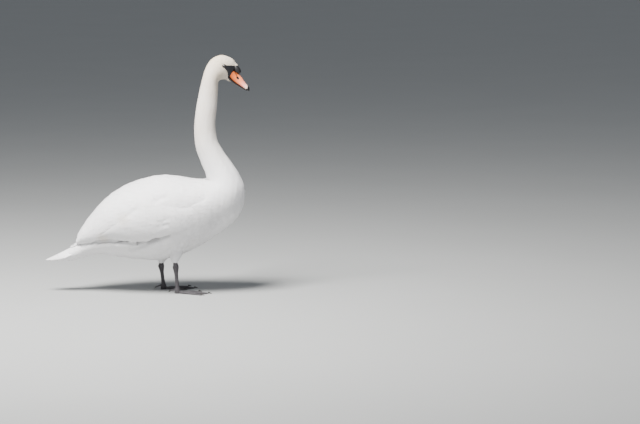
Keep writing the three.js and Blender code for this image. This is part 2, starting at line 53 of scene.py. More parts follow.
camera = bpy.data.objects.new("camera", bpy.data.cameras.new("camera"))
camera.data.sensor_width = 36
camera.data.lens = camera.data.sensor_width * DISTANCE / FIELD
camera.data.clip_end = 200
camera.location = AIM + DISTANCE * Vector((0, -cos(CAMERA_RISE), sin(CAMERA_RISE)))
camera.rotation_euler = (radians(90) - CAMERA_RISE, 0, 0)
bpy.context.scene.collection.objects.link(camera)
bpy.context.scene.camera = camera


def soft_light(name, place, size, power, colour):
    """A square area light at a place, turned to the bird's middle."""
    light = bpy.data.objects.new(name, bpy.data.lights.new(name, "AREA"))
    light.data.size = size
    light.data.energy = power
    light.data.color = colour
    light.location = place
    light.rotation_euler = (LIT - Vector(place)).to_track_quat("-Z", "Y").to_euler()
    light.visible_camera = False
    bpy.context.scene.collection.objects.link(light)


soft_light("overhead", (-0.9, -1.5, 3.5), 1.6, 620, (1, 0.985, 0.965))
soft_light("fill", (2.6, -3.4, 1.6), 2.5, 16, (0.93, 0.96, 1))

sky = bpy.data.worlds.new("sky")
sky.use_nodes = True
sky.node_tree.nodes["Background"].inputs["Color"].default_value = (0.86, 0.92, 1, 1)
sky.node_tree.nodes["Background"].inputs["Strength"].default_value = SKY_STRENGTH
bpy.context.scene.world = sky


class Shade:
    """One socket of a material. Sums and products of it with numbers or other sockets add Math nodes."""

    def __init__(self, tree, socket=None):
        self.tree = tree
        self.socket = socket

    def node(self, kind, settings=(), output=0, **inputs):
        """A new node: its settings first, then values or links by input name, or by number as i0, i1."""
        made = self.tree.nodes.new("ShaderNode" + kind)
        for name, value in dict(settings).items():
            setattr(made, name, value)
        for name, value in inputs.items():
            socket = made.inputs[int(name[1:]) if name[1:].isdigit() else name.replace("_", " ")]
            if isinstance(value, Shade):
                self.tree.links.new(value.socket, socket)
            else:
                socket.default_value = value
        return Shade(self.tree, made.outputs[output])

    def math(self, operation, *values):
        """A sum, product or other function of one or two numbers."""
        inputs = {f"i{n}": value for n, value in enumerate(values)}
        return self.node("Math", {"operation": operation}, **inputs)

    def __add__(self, other):
        return self.math("ADD", self, other)

    __radd__ = __add__

    def __sub__(self, other):
        return self.math("SUBTRACT", self, other)

    def __rsub__(self, other):
        return self.math("SUBTRACT", other, self)

    def __mul__(self, other):
        return self.math("MULTIPLY", self, other)

    __rmul__ = __mul__

    def __truediv__(self, other):
        return self.math("DIVIDE", self, other)

    def __pow__(self, other):
        return self.math("POWER", self, other)

    def __abs__(self):
        return self.math("ABSOLUTE", self)

    def sine(self):
        """The sine of an angle in radians."""
        return self.math("SINE", self)

    def over(self, other):
        """The larger of the two."""
        return self.math("MAXIMUM", self, other)

    def rise(self, low, high):
        """0 below low, 1 above high and a smooth step between."""
        limits = {"From_Min": low, "From_Max": high}
        return self.node("MapRange", {"interpolation_type": "SMOOTHSTEP"}, Value=self, **limits)

    def tint(self, below, above):
        """The colour below where this is 0 and above where it is 1."""
        return self.node("Mix", {"data_type": "RGBA"}, 2, i0=self, i6=below, i7=above)

    def axes(self):
        """The three numbers of a vector."""
        made = self.node("SeparateXYZ", Vector=self)
        return [Shade(self.tree, socket) for socket in made.socket.node.outputs]

    def along(self, direction, start=(0, 0, 0)):
        """How far a place lies from a start in a direction."""
        offset = self.node("VectorMath", {"operation": "SUBTRACT"}, i0=self, i1=start)
        return self.node("VectorMath", {"operation": "DOT_PRODUCT"}, 1, i0=offset, i1=direction)

    def noise(self, scale, detail=2, **inputs):
        """Cloudy noise from 0 to 1 over a place."""
        return self.node("TexNoise", Vector=self, Scale=scale, Detail=detail, **inputs)

    def stored(self, name, output=2):
        """A number stored on the mesh under a name, or a vector from output 1."""
        return self.node("Attribute", {"attribute_name": name}, output)


def new_material(name, **settings):
    """A material, its shader node and the place in the object's own coordinates."""
    material = bpy.data.materials.new(name)
    material.use_nodes = True
    tree = material.node_tree
    shader = tree.nodes["Principled BSDF"]
    for socket, value in settings.items():
        shader.inputs[socket.replace("_", " ")].default_value = value
    place = Shade(tree).node("TexCoord", output=3)
    return material, shader, place


def feed(shader, socket, value):
    """Links a value to one of the shader's sockets."""
    shader.id_data.links.new(value.socket, shader.inputs[socket])


def bumpy(shader, height, strength, distance):
    """Gives the shader relief from a height of 0 to 1."""
    bump = height.node("Bump", Strength=strength, Distance=distance, Height=height)
    feed(shader, "Normal", bump)


floor_paint, shader, place = new_material("floor", Roughness=0.9)
feed(shader, "Base Color", place.noise(1.5).tint((0.34, 0.345, 0.34, 1), (0.36, 0.365, 0.36, 1)))
bumpy(shader, place.noise(400), 0.1, MM)
FLOOR = 60  # half its width
floor_mesh = bpy.data.meshes.new("floor")
corners = [(-FLOOR, -FLOOR, 0), (FLOOR, -FLOOR, 0), (FLOOR, FLOOR, 0), (-FLOOR, FLOOR, 0)]
floor_mesh.from_pydata(corners, [], [(0, 1, 2, 3)])
floor_mesh.materials.append(floor_paint)
floor = bpy.data.objects.new("floor", floor_mesh)
bpy.context.scene.collection.objects.link(floor)

# ---------------------------------------------------------------------------- build
# The bird's build: flat cross-sections from the root of the bill over head, neck and trunk to the tail, and
# those of the folded wings that lie round the trunk. Each row holds the ends of the section on the nape side
# and on the throat side, half its width, and a share that moves its widest line to the back or the front.
BODY = [
    (376.5, 931, 337, 865, 14, -0.12), (366.7, 936.5, 326.9, 870.5, 19, -0.12),
    (353, 954, 316, 873, 25, -0.1), (333, 966, 306, 872, 30, -0.06), (303, 972, 297, 868, 33.5, -0.1),
    (267, 957, 292, 860, 34.5, -0.12), (243, 924, 291, 848, 34, -0.04), (228, 880, 291, 832, 33, 0),
    (216, 830, 289, 800, 33.5, 0),
    (202, 758, 285, 748, 36, 0), (194, 690, 280, 696, 38.5, 0), (194, 640, 282, 656, 41, 0),
    (199, 597, 290, 620, 45, 0), (214, 551, 315, 574, 51, 0), (228, 514, 347, 530, 60, 0),
    (240, 484, 378, 482, 73, 0.02), (243, 466, 398, 432, 90, 0.03), (233, 464, 398, 377, 108, 0.06),
    (212, 464, 374, 313, 124, 0.08), (176, 466, 320, 261, 137, 0.08), (127, 467, 248, 211, 147, 0.06),
    (59, 460, 150, 159, 149, 0.05), (-12, 436, 48, 132, 141, 0.03), (-87, 390, -41, 136, 124, -0.02),
    (-163, 326, -125, 146, 99, -0.06), (-228, 260, -203, 157, 70, -0.08), (-283, 211, -266, 140, 47, 0),
    (-330, 172, -322, 126, 33, 0), (-366, 150, -362, 126, 21, 0), (-388, 137, -386, 126, 10, 0),
]
FOLDED_WINGS = [
    (238, 468, 399, 400, 99, 0.1), (214, 468, 376, 316, 122, 0.12), (177, 473, 322, 264, 142, 0.11),
    (127, 480, 250, 212, 155, 0.09), (58, 482, 150, 160, 162, 0.05), (-12, 469, 50, 149, 162, 0.03),
    (-88, 442, -40, 157, 152, 0.02), (-168, 391, -122, 177, 127, 0), (-239, 314, -194, 186, 92, -0.04),
    (-281, 254, -249, 192, 62, 0), (-301, 212, -288, 190, 38, 0),
]
WINGS_BEGIN = 17  # the trunk's station at the wings' first


def curve_through(points, t):
    """The centripetal Catmull-Rom curve through rows of points: each span is the cubic whose end slopes are
    those of parabolas through three neighbours, timed by the square root of their distances. Past its ends it
    runs on straight."""
    last = len(points) - 1
    ends = 2 * points[[0, -1]] - points[[1, -2]]
    padded = np.vstack([ends[:1], points, ends[1:]])
    beyond = (t - np.clip(t, 0, last))[..., None]
    t = np.clip(t, 0, last)
    span = np.minimum(t.astype(int), last - 1)
    w = (t - span)[..., None]
    p0, p1, p2, p3 = (padded[span + k] for k in range(4))
    times = np.maximum(np.linalg.norm(np.diff(padded, axis=0), axis=1), 1e-7)[:, None] ** 0.5
    d0, d1, d2 = (times[span + k] for k in range(3))
    slope1 = ((p1 - p0) / d0 - (p2 - p0) / (d0 + d1) + (p2 - p1) / d1) * d1
    slope2 = ((p2 - p1) / d1 - (p3 - p1) / (d1 + d2) + (p3 - p2) / d2) * d1
    cubic = 2 * p1 - 2 * p2 + slope1 + slope2
    return p1 + w * (slope1 + w * (3 * p2 - 3 * p1 - 2 * slope1 - slope2 + w * cubic)) + beyond * (p2 - p1)


class Form:
    """The smooth form through a table of cross-sections."""

    def __init__(self, table):
        rows = np.array(table)
        self.rows = np.column_stack([rows[:, :5] * MM, rows[:, 5] / 10])

    def point(self, station, angle, depth=0.0):
        """The point at a station and at an angle round its section, 0 on the back and a quarter turn on the
        left, sunk by a depth: centre + up cos(angle), and half width sin(angle) (1 + rise cos(angle))."""
        station, angle, depth = np.broadcast_arrays(np.asarray(station, float), angle, depth)
        back, front, girth = (curve_through(self.rows[:, n:n + 2], station) for n in (0, 2, 4))
        up = (back - front) / 2
        height = np.linalg.norm(up, axis=-1)
        reach = up * ((1 - depth / height) * np.cos(angle))[..., None]
        middle = (back + front) / 2 + reach
        width = (girth[..., 0] - depth) * np.sin(angle) * (1 + 10 * girth[..., 1] * np.cos(angle))
        return np.stack([middle[..., 0], width, middle[..., 1]], axis=-1)


body = Form(BODY)
wings = Form(FOLDED_WINGS)

# The coat's thickness at stations along the body.
COAT_STATIONS = [0, 3, 5, 9, 14, 18, 22, 25, 27, 29]
COAT_DEPTHS = np.array([1.4, 2, 2.6, 4, 6, 9, 9, 7, 5, 3]) * MM


def coat_depth(station):
    """How deep the skin lies under the tips of the feathers."""
    return np.interp(station, COAT_STATIONS, COAT_DEPTHS)


# ---------------------------------------------------------------------------- eyes
# A swan's eyes are dark brown balls with a wide black pupil under a clear wet cornea. Only a shallow cap
# shows between the lids.
RIGHT, LEFT = -1, 1
SIDES = ((RIGHT, "right"), (LEFT, "left"))
EYE = np.array([316.6, 0, 930]) * MM
EYE_STATION = 3.35
EYE_RADIUS = 6.5 * MM
EYE_BULGE = 2.2 * MM
PUPIL = 3 * MM
PUPIL_EDGE = 0.3 * MM
upper_end, lower_end = body.point(EYE_STATION, np.array([0, np.pi]))[:, 2]
eye_angle = np.arccos((2 * EYE[2] - upper_end - lower_end) / (upper_end - lower_end))
EYE[1] = body.point(EYE_STATION, eye_angle)[1] - EYE_RADIUS + EYE_BULGE


def grid(first, second):
    """Two parameters over a grid: the first grows from row to row, the second from column to column."""
    return np.meshgrid(first, second, indexing="ij")


def full_turn(count):
    """Angles spaced evenly round a whole turn."""
    return np.linspace(0, 2 * np.pi, count, endpoint=False)


def grid_quads(rows, columns, closed=False):
    """Corner numbers of the quads of a grid of points, wrapped round across its columns if closed."""
    i, j = grid(np.arange(rows - 1), np.arange(columns - (not closed)))
    k = (j + 1) % columns
    row, next_row = i * columns, (i + 1) * columns
    return np.stack([row + j, next_row + j, next_row + k, row + k], axis=-1).reshape(-1, 4)


def new_mesh(name, points, quads, triangles=()):
    """A smooth mesh from arrays of points and corner numbers."""
    points, quads = np.reshape(points, (-1, 3)), np.asarray(quads)
    corners = np.concatenate([np.ravel(quads), np.ravel(triangles)]).astype(np.int32)
    starts = np.append(np.arange(len(quads)) * 4, quads.size + np.arange(len(triangles)) * 3)
    mesh = bpy.data.meshes.new(name)
    mesh.vertices.add(len(points))
    mesh.vertices.foreach_set("co", points.astype(np.float32).ravel())
    mesh.loops.add(len(corners))
    mesh.loops.foreach_set("vertex_index", corners)
    mesh.polygons.add(len(starts))
    mesh.polygons.foreach_set("loop_start", starts.astype(np.int32))
    mesh.update(calc_edges=True)
    mesh.validate()
    mesh.shade_smooth()
    return mesh


def points_of(mesh):
    """The places of a mesh's points, one in each row."""
    points = np.empty(len(mesh.vertices) * 3, np.float32)
    mesh.vertices.foreach_get("co", points)
    return points.reshape(-1, 3)


def faced_outwards(mesh):
    """Turns a closed mesh's faces over if its volume, the sum of a . (b x c) over triangles, is negative."""
    mesh.calc_loop_triangles()
    corners = np.empty(len(mesh.loop_triangles) * 3, np.int32)
    mesh.loop_triangles.foreach_get("vertices", corners)
    a, b, c = points_of(mesh)[corners.reshape(-1, 3)].astype(float).transpose(1, 0, 2)
    if np.einsum("ij,ij->", a, np.cross(b, c)) < 0:
        mesh.flip_normals()
    return mesh


def closed_tube(name, rings):
    """A mesh through rings of points, (rings, round, 3), closed at each end by a fan to the ring's middle."""
    count, around = rings.shape[:2]
    points = np.concatenate([rings.reshape(-1, 3), rings[[0, -1]].mean(axis=1)])
    j = np.arange(around)
    k = (j + 1) % around
    last = (count - 1) * around
    start = np.stack([j, k, np.full(around, count * around)], axis=-1)
    end = np.stack([last + k, last + j, np.full(around, count * around + 1)], axis=-1)
    fans = np.vstack([start, end])
    return faced_outwards(new_mesh(name, points, grid_quads(count, around, closed=True), fans))


def add_piece(name, mesh, material, slot, *replaced):
    """Puts a mesh in the scene as a piece of the bird, in the place of the solids that it replaces."""
    mesh.materials.clear()
    mesh.materials.append(material)
    piece = bpy.data.objects.new(name, mesh)
    bpy.context.scene.collection.objects.link(piece)
    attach(piece, "root")
    if replaced:
        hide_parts(*replaced)


def ellipsoid(name, centre, axes, rows=24, around=32):
    """A closed ball stretched along three axis vectors: centre + x cos(t) + (y cos(p) + z sin(p)) sin(t)."""
    t = np.linspace(0, np.pi, rows + 2)[1:-1, None, None]
    p = full_turn(around)[None, :, None]
    x, y, z = np.asarray(axes)
    rings = np.asarray(centre) + x * np.cos(t) + (y * np.cos(p) + z * np.sin(p)) * np.sin(t)
    return closed_tube(name, rings)


for side, name in SIDES:
    eye_paint, shader, place = new_material(f"eye_{name}", Roughness=0.12, Coat_Weight=1, Coat_Roughness=0.02)
    centre = EYE * (1, side, 1)
    x, y, z = place.axes()
    from_axis = ((x - centre[0]) ** 2 + (z - centre[2]) ** 2) ** 0.5
    streaks = place.noise(900, 3)
    iris = streaks.tint((0.008, 0.004, 0.003, 1), (0.024, 0.011, 0.006, 1))
    feed(shader, "Base Color", from_axis.rise(PUPIL, PUPIL + PUPIL_EDGE).tint((0.002, 0.002, 0.002, 1), iris))
    axes = np.array([(0, side, 0), (0, 0, 1), (1, 0, 0)]) * EYE_RADIUS
    ball = ellipsoid(f"eye_{name}", centre, axes)
    add_piece(f"swan_eye_{name}", ball, eye_paint, "eye", f"eye_{name}")

# ---------------------------------------------------------------------------- bare face
# Between bill and eye a swan's skin is bare and black. It runs to a point at the eye, whose lids it borders,
# bends down behind the corner of the mouth, and carries on a little way over the root of the bill.
FACE_REAR = np.array([(936, 316), (927, 316), (920, 319), (913, 325), (903, 330), (892, 331.8), (883, 332),
                      (874, 334), (866, 337)]) * MM  # height and place of its rear border
FACE_TOP = np.array([(310, 934.5), (322, 933.3), (338, 931.5), (356, 929.5), (376, 928)]) * MM
FACE_FOOT = np.array([(320, 876), (334, 870), (348, 857)]) * MM
CHIN_HALF = 9 * MM  # feathers run forward under the bill, as wide as this and up to this height
CHIN_TOP = 874 * MM
REAR_SLOPE, FOOT_SLOPE = 0.85, 0.7  # these turn level and upright distances into ones square to a border
LIDS = (5.3 * MM, 4.8 * MM)  # half the length and height of the opening between the lids
LID_RIM = 2.6 * MM
HEAD_BEGINS = 0.8

BILL_ROOT = np.array([336, 0, 885.5]) * MM
BILL_PITCH = radians(31)
BILL_AXIS = np.array([cos(BILL_PITCH), 0, -sin(BILL_PITCH)])
BILL_UP = np.array([sin(BILL_PITCH), 0, cos(BILL_PITCH)])


def from_eye(points):
    """Distance from the eye's axis, stretched so that it is 1 along the opening between the lids."""
    return np.hypot((points[..., 0] - EYE[0]) / LIDS[0], (points[..., 2] - EYE[2]) / LIDS[1])


def bareness(points):
    """How far a place on the head lies inside the bare face, in metres, and below zero outside it."""
    x, z = points[..., 0], points[..., 2]
    rear = curve_through(FACE_REAR, np.linspace(0, len(FACE_REAR) - 1, 200))
    behind = REAR_SLOPE * (x - np.interp(-z, -rear[:, 0], rear[:, 1]))
    below = np.interp(x, *FACE_TOP.T) - z
    above = FOOT_SLOPE * (z - np.interp(x, *FACE_FOOT.T))
    ring = (1 - from_eye(points)) * LIDS[1] + LID_RIM
    beside_chin = np.abs(points[..., 1]) - CHIN_HALF + np.maximum(z - CHIN_TOP, 0)
    inside = np.minimum.reduce([behind, below, above, beside_chin])
    return np.where(z > HEAD_BEGINS, np.maximum(inside, ring), -1)


def step_up(value, low, high):
    """0 below low, 1 above high and a smooth step between."""
    t = np.clip((value - low) / (high - low), 0, 1)
    return t * t * (3 - 2 * t)


def mix(share, first, second):
    """The first value at a share of 0, the second at 1, and evenly between."""
    return first + (second - first) * share


# ---------------------------------------------------------------------------- skin
# One skin covers the bird under its feathers: head with its lids and bare face, neck, trunk, folded wings,
# thighs, and the scaly legs and webbed feet. Each part is a closed form, and all are united into one.

# The rings of its grid, and the angles round them, which lie closest at the eyes.
stations = np.concatenate([
    np.arange(0.35, 1, 0.08), np.arange(1, 2.85, 0.055), np.arange(2.85, 3.9, 0.024),
    np.arange(3.9, 7.5, 0.1), np.arange(7.5, 15, 0.16), np.arange(15, 28.9, 0.16), [28.95],
])
above_eye, below_eye = eye_angle - 0.24, eye_angle + 0.24
half_round = np.concatenate([
    np.linspace(0, above_eye, 19)[1:-1], np.arange(above_eye, below_eye, 0.0105),
    np.linspace(below_eye, np.pi, 34)[1:-1],
])
angles = np.concatenate([[0], half_round, [np.pi], -half_round[::-1]])
BARE_DEPTH = 0.9 * MM
COAT_THINS = (-2.5 * MM, 0.2 * MM)  # the coat thins out from outside to inside the bare face's border
TUCK = 8 * MM
LID_LIP = 0.45 * MM  # how far the lids' edge stands over the eyeball
LID_FALL = 0.5 * MM  # and how far they fall off over their rim
LIDS_END = 1.8  # where they have run into the head, in distances of their edge from the eye's axis
SOCKET = 1.3 * MM  # how deep the skin lies behind the eyeball's front

# Folds of the coat, seen from the side: both ends of a line, its width and its depth, in millimetres.
BODY_FOLDS = np.array([
    # under the wing's edge
    (-112, 214, -30, 212, 8, 9), (-30, 212, 12, 222, 8, 26), (12, 222, 50, 236, 8, 28),
    (50, 236, 92, 249, 7, 8),
    # a crease and a bulge of the flank below it, and creases over the thighs
    (-60, 184, 0, 204, 9, 9), (40, 196, 110, 222, 12, -3.5),
    (70, 158, 100, 182, 12, 7), (100, 182, 136, 204, 10, 5),
    # the hollow of the shoulder
    (165, 392, 235, 404, 17, 5),
])
WING_FOLDS = np.array([
    (46, 392, 84, 407, 9, 3.2), (-66, 334, -36, 358, 10, 3), (60, 307, 92, 318, 6, 1.6),
    (52, 286, 96, 296, 7, 1.8),
])
WRINKLES = {"middle": (290, 495), "size": (45, 42), "length": 13, "slope": 0.35, "depth": 0.35}


def from_line(x, z, x0, z0, x1, z1):
    """Distance of a place from the line between two others: from that point of it whose share of the way is
    the offset times the line over the line squared, kept between 0 and 1."""
    reach = ((x - x0) * (x1 - x0) + (z - z0) * (z1 - z0)) / ((x1 - x0) ** 2 + (z1 - z0) ** 2)
    t = np.clip(reach, 0, 1)
    return np.hypot(x - x0 - t * (x1 - x0), z - z0 - t * (z1 - z0))


def fold_depth(points, folds):
    """How far folds press the surface in: the sum of depth times exp(-(distance / width) squared)."""
    x, z = points[..., 0, None] / MM, points[..., 2, None] / MM
    *line, width, depth = folds.T
    return np.sum(depth * np.exp(-((from_line(x, z, *line) / width) ** 2)), axis=-1) * MM


def wrinkle_depth(points):
    """Fine wrinkles round the base of the neck, as sine waves that fade out from its middle."""
    x, z = points[..., 0] / MM, points[..., 2] / MM
    (mx, mz), (wide, tall) = WRINKLES["middle"], WRINKLES["size"]
    wave = np.sin(2 * np.pi * (z - WRINKLES["slope"] * x + 4 * np.sin(x / 9)) / WRINKLES["length"])
    return wave * np.exp(-(((x - mx) / wide) ** 2) - ((z - mz) / tall) ** 2) * WRINKLES["depth"] * MM


# Twelve waves of the coat's unevenness: their directions, and their lengths and heights in millimetres.
WAVES = np.random.default_rng(3).normal(size=(12, 3))
WAVE_LENGTHS = np.repeat([37, 24, 15, 11], 3)
WAVE_HEIGHTS = WAVE_LENGTHS * 0.009


def unevenness(points):
    """The soft unevenness of a coat: a sum of sine waves in many directions, each with a phase of its own,
    that gets less towards the head."""
    height = 0
    for direction, length, share in zip(WAVES, WAVE_LENGTHS, WAVE_HEIGHTS):
        phase = 2 * np.pi * points @ (direction / np.linalg.norm(direction)) / (length * MM)
        height = height + share * np.sin(phase + 7 * direction[0])
    return height * MM * mix(step_up(points[..., 2], 0.45, 0.85), 1, 0.25)


def trunk_surface(station, angle, depth=0.0):
    """The bird's outside with its folds, wrinkles and unevenness."""
    flat = body.point(station, angle, depth)
    folded = fold_depth(flat, BODY_FOLDS) + wrinkle_depth(flat) + unevenness(flat)
    return body.point(station, angle, depth + folded)


def skin_point(station, angle):
    """The bird's form sunk by the coat, less on the bare face, and tucked under the bill and the knob."""
    outside = body.point(station, angle)
    bare = step_up(bareness(outside), *COAT_THINS)
    depth = mix(bare, coat_depth(station), BARE_DEPTH)
    tuck = np.maximum(1 - station, 0) * step_up(np.abs(angle), 0.5, 0.9)
    tuck = tuck + 0.7 * step_up(0.62 - station, 0, 0.35)
    return trunk_surface(station, angle, depth + TUCK * tuck)


def with_lids(points):
    """Raises a rim round each eyeball and takes the skin behind it: the rim's height is that of the ball at
    the lids' edge, and it rolls off as the square of the distance outwards."""
    r = from_eye(points) * LIDS[1]
    edge = LIDS[1]
    ball = EYE[1] + np.sqrt(np.maximum(EYE_RADIUS**2 - r**2, 0))
    rim = EYE[1] + np.sqrt(EYE_RADIUS**2 - edge**2) + LID_LIP - LID_FALL * ((r - edge) / LID_RIM) ** 2
    out = np.abs(points[..., 1])
    lid = mix(step_up(r, 1.15 * edge, LIDS_END * edge), rim, out)
    behind = ball - SOCKET
    shaped = np.where(r < edge, mix(step_up(r, 0.9 * edge, edge), behind, lid), lid)
    near = (r < LIDS_END * edge) & (out > 0.01)
    result = points.copy()
    result[..., 1] = np.where(near, np.sign(points[..., 1]) * shaped, points[..., 1])
    return result


body_rings = with_lids(skin_point(stations[:, None], angles[None, :]))
skin_parts = [closed_tube("skin", body_rings)]
# The chin is a low ellipsoid under the root of the bill: its middle, and its half axes.
CHIN = BILL_ROOT + 1 * MM * BILL_AXIS - 12 * MM * BILL_UP
chin_axes = np.array([16 * BILL_AXIS, 9.5 * np.array([0, 1, 0]), 5 * BILL_UP]) * MM
skin_parts.append(ellipsoid("chin", CHIN, chin_axes, rows=40, around=56))


def plate_quads(rows, columns):
    """Corner numbers of a closed plate: the grid of its top, that of its underside and the walls between."""
    border = np.concatenate([
        np.arange(columns - 1), np.arange(rows - 1) * columns + columns - 1,
        (rows - 1) * columns + np.arange(columns - 1, 0, -1), np.arange(rows - 1, 0, -1) * columns,
    ])
    beside = np.roll(border, -1)
    size = rows * columns
    walls = np.stack([border, beside, beside + size, border + size], axis=-1)
    upper = grid_quads(rows, columns)
    return np.vstack([upper, upper[:, ::-1] + size, walls])


def closed_plate(name, top, under):
    """A closed mesh between two grids of points of the same shape."""
    points = np.concatenate([top.reshape(-1, 3), under.reshape(-1, 3)])
    return faced_outwards(new_mesh(name, points, plate_quads(*top.shape[:2])))


def run(*values):
    """A smooth run through values spaced evenly from 0 to 1."""
    rows = np.column_stack([np.arange(len(values)), values]).astype(float)
    return lambda s: curve_through(rows, np.clip(s, 0, 1) * (len(values) - 1))[..., 1]


def near_border(distance, share):
    """1 at a border, falling to 0 at this share of the way in."""
    return np.maximum(0, 1 - distance / share) ** 2


# How deep the soft valley is that borders the scapulars, and the step down to the coverts under them, along
# the wing in millimetres, and the place of the scapulars' lower edge across the coverts.
VALLEY = run(0, 4.5, 6, 3.5, 1.2, 2, 0, 0, 0)
STEP = run(0, 0.3, 0.3, 0.3, 0.3, 0.6, 7, 9, 7)
SCAPULARS_END = run(0.5, 0.5, 0.46, 0.33, 0.28, 0.4, 0.53, 0.78, 1)


def scapulars_sunk(s, t):
    """1 mm, and more at their borders: the valley along the lower one, and 5 mm at the upper one."""
    return (1 + VALLEY(s) * near_border(1 - t, 0.45) + 5 * near_border(t, 0.16) * step_up(s, 0.05, 0.4)) * MM


def coverts_sunk(s, t):
    """1 mm, and more by valley and step under the scapulars' edge, and by 2 mm at their own lower edge."""
    end = SCAPULARS_END(s)
    shelf = (VALLEY(s) + STEP(s)) * (1 - step_up(t, end, end + 0.3))
    return (1 + shelf + 2 * near_border(1 - t, 0.2) * step_up(s, 0.2, 0.5)) * MM


def scapulars_raised(s, t):
    """0 where the wing still lies flush with the trunk, 1 where it has its own full form."""
    return step_up(s, 0, 0.4)


def coverts_raised(s, t):
    """As with the scapulars, but from further back on the lower half, where the breast lies over them."""
    return step_up(s, 0, 0.4) * (1 - (1 - step_up(s, 0.14, 0.36)) * step_up(t, 0.35, 0.9))


# Where each part of a folded wing begins and ends, how it is sunk and raised, and its upper and lower edge.
SCAPULARS = {
    "begin": 0.5, "end": 9.8, "sunk": scapulars_sunk, "raised": scapulars_raised,
    "upper": run(0.15, 0, -0.01, -0.01, -0.01, -0.01, 0.01, 0.04, 0.12, 0.3),
    "lower": run(0.85, 1.27, 1.355, 1.29, 1.12, 1.25, 1.38, 1.54, 1.84, 1.7),
}
COVERTS = {
    "begin": 1.0, "end": 9.3, "sunk": coverts_sunk, "raised": coverts_raised,
    "upper": run(0.8, 0.8, 0.8, 0.8, 0.8, 0.85, 1.0),
    "lower": run(1.6, 1.8, 1.89, 1.94, 2.1, 2.06, 1.89, 1.75),
}


def wing_surface(part, side):
    """The outside of a part of one folded wing: s runs to the tail, t from the back down the flank."""

    def surface(s, t, depth=0.0):
        station = mix(s, part["begin"], part["end"])
        angle = side * mix(t, part["upper"](s), part["lower"](s))
        deep = part["sunk"](s, t) + depth
        flat = wings.point(station, angle, deep)
        deep = deep + fold_depth(flat, WING_FOLDS) + unevenness(flat)
        flush = body.point(station + WINGS_BEGIN, angle, deep)
        return mix(part["raised"](s, t)[..., None], flush, wings.point(station, angle, deep))

    return surface


WING_SKIN_DEPTH = 5 * MM
WING_BORDER, WING_MIDDLE = 3 * MM, 16 * MM  # how thick a folded wing is, and how much more within
for side in (RIGHT, LEFT):
    for part in (SCAPULARS, COVERTS):
        s, t = grid(np.linspace(0.02, 0.9, 60), np.linspace(0, 0.95, 24))
        surface = wing_surface(part, side)
        deeper = WING_BORDER + WING_MIDDLE * (1 - s**2) * np.sin(np.pi * t) ** 0.6
        skin_parts.append(closed_plate("wing_skin", surface(s, t, WING_SKIN_DEPTH),
                                       surface(s, t, WING_SKIN_DEPTH + deeper)))

# Legs: rows of the thigh hold its place, height and half depth, and the hock and foot are the joints' places.
LEG_SPREAD = 60 * MM
THIGH_WIDTH = 0.75
THIGH_COAT = 3 * MM
# Rows of the shank: share of the way from hock to foot, half depth and half width. Those of the knuckle over
# the toes start with its place and height.
SHANK = [(0.14, 10.3, 8.4), (0.3, 8, 6.5), (0.6, 7.5, 6), (0.86, 8.5, 7.5)]
KNUCKLE = [(0, 0, 12.3, 10.8), (0, 7, 12.8, 11.3), (0, 15, 11.3, 10.3), (0, 21.5, 9.3, 8.8)]
LEGS = {
    RIGHT: {"thigh": [(126, 212, 40), (120, 180, 29), (117, 156, 24.5), (115, 140, 17), (115, 130, 10.5)],
            "hock": (117, 108), "foot": (124, 13), "turn": radians(-7)},
    LEFT: {"thigh": [(66, 200, 46), (60, 160, 38), (56, 133, 27), (53, 119, 16), (52, 112, 10.5)],
           "hock": (51, 96), "foot": (61, 13), "turn": radians(7)},
}
TOES = {"inner": (92, -27, 6.2), "middle": (128, 0, 6.8), "outer": (118, 25, 6.2)}  # length, angle, radius
WEB = 1.6 * MM
HIND_TOE = {"start": -7 * MM, "length": 24 * MM, "radius": 4.2 * MM, "height": 17 * MM, "drop": 8 * MM}


def thigh_surface(side):
    """The outside of a feathered thigh: level ellipses round its own line."""
    rows = np.array(LEGS[side]["thigh"]) * MM

    def surface(s, angle, depth=0.0):
        row = curve_through(rows, np.asarray(s, float))
        deep = row[..., 2] - depth
        wide = THIGH_WIDTH * row[..., 2] + THIGH_COAT - depth
        x, y, _ = np.broadcast_arrays(row[..., 0] + deep * np.cos(angle),
                                      side * (LEG_SPREAD + wide * np.sin(angle)), row[..., 1])
        return np.stack([x, y, np.broadcast_to(row[..., 1], x.shape)], axis=-1)

    return surface


def level_rings(table, side, around=28):
    """Level elliptical rings through rows of place, height, half depth and half width."""
    t = np.linspace(0, len(table) - 1, 6 * len(table))
    rows = curve_through(np.array(table) * MM, t)[:, None, :]
    p = full_turn(around)[None, :]
    x = rows[..., 0] + rows[..., 2] * np.cos(p)
    y = side * LEG_SPREAD + rows[..., 3] * np.sin(p)
    return np.stack([x, y, np.broadcast_to(rows[..., 1], x.shape)], axis=-1)


def toe_line(spec, side):
    """A toe's length and its direction over the ground, in the foot's own frame."""
    length, angle, _ = spec
    turn = radians(angle) * side
    return length * MM, np.array([cos(turn), sin(turn), 0])


def toe_mesh(spec, side):
    """A toe flat on the ground: its radius tapers and swells at three joints as 1 + 0.09 cos(6 pi s)."""
    length, ahead = toe_line(spec, side)
    s = np.linspace(0, 1, 41)[:, None]
    p = full_turn(20)[None, :]
    radius = spec[2] * MM * (1 - 0.42 * s) * (1 + 0.09 * np.cos(6 * np.pi * s)) * np.sqrt(1 - 0.8 * s**12)
    across = np.array([-ahead[1], ahead[0], 0])
    points = (length * s)[..., None] * ahead + (radius * np.cos(p))[..., None] * across
    points[..., 2] = np.maximum(radius * (0.7 + np.sin(p)), 0)
    return closed_tube("toe", points)


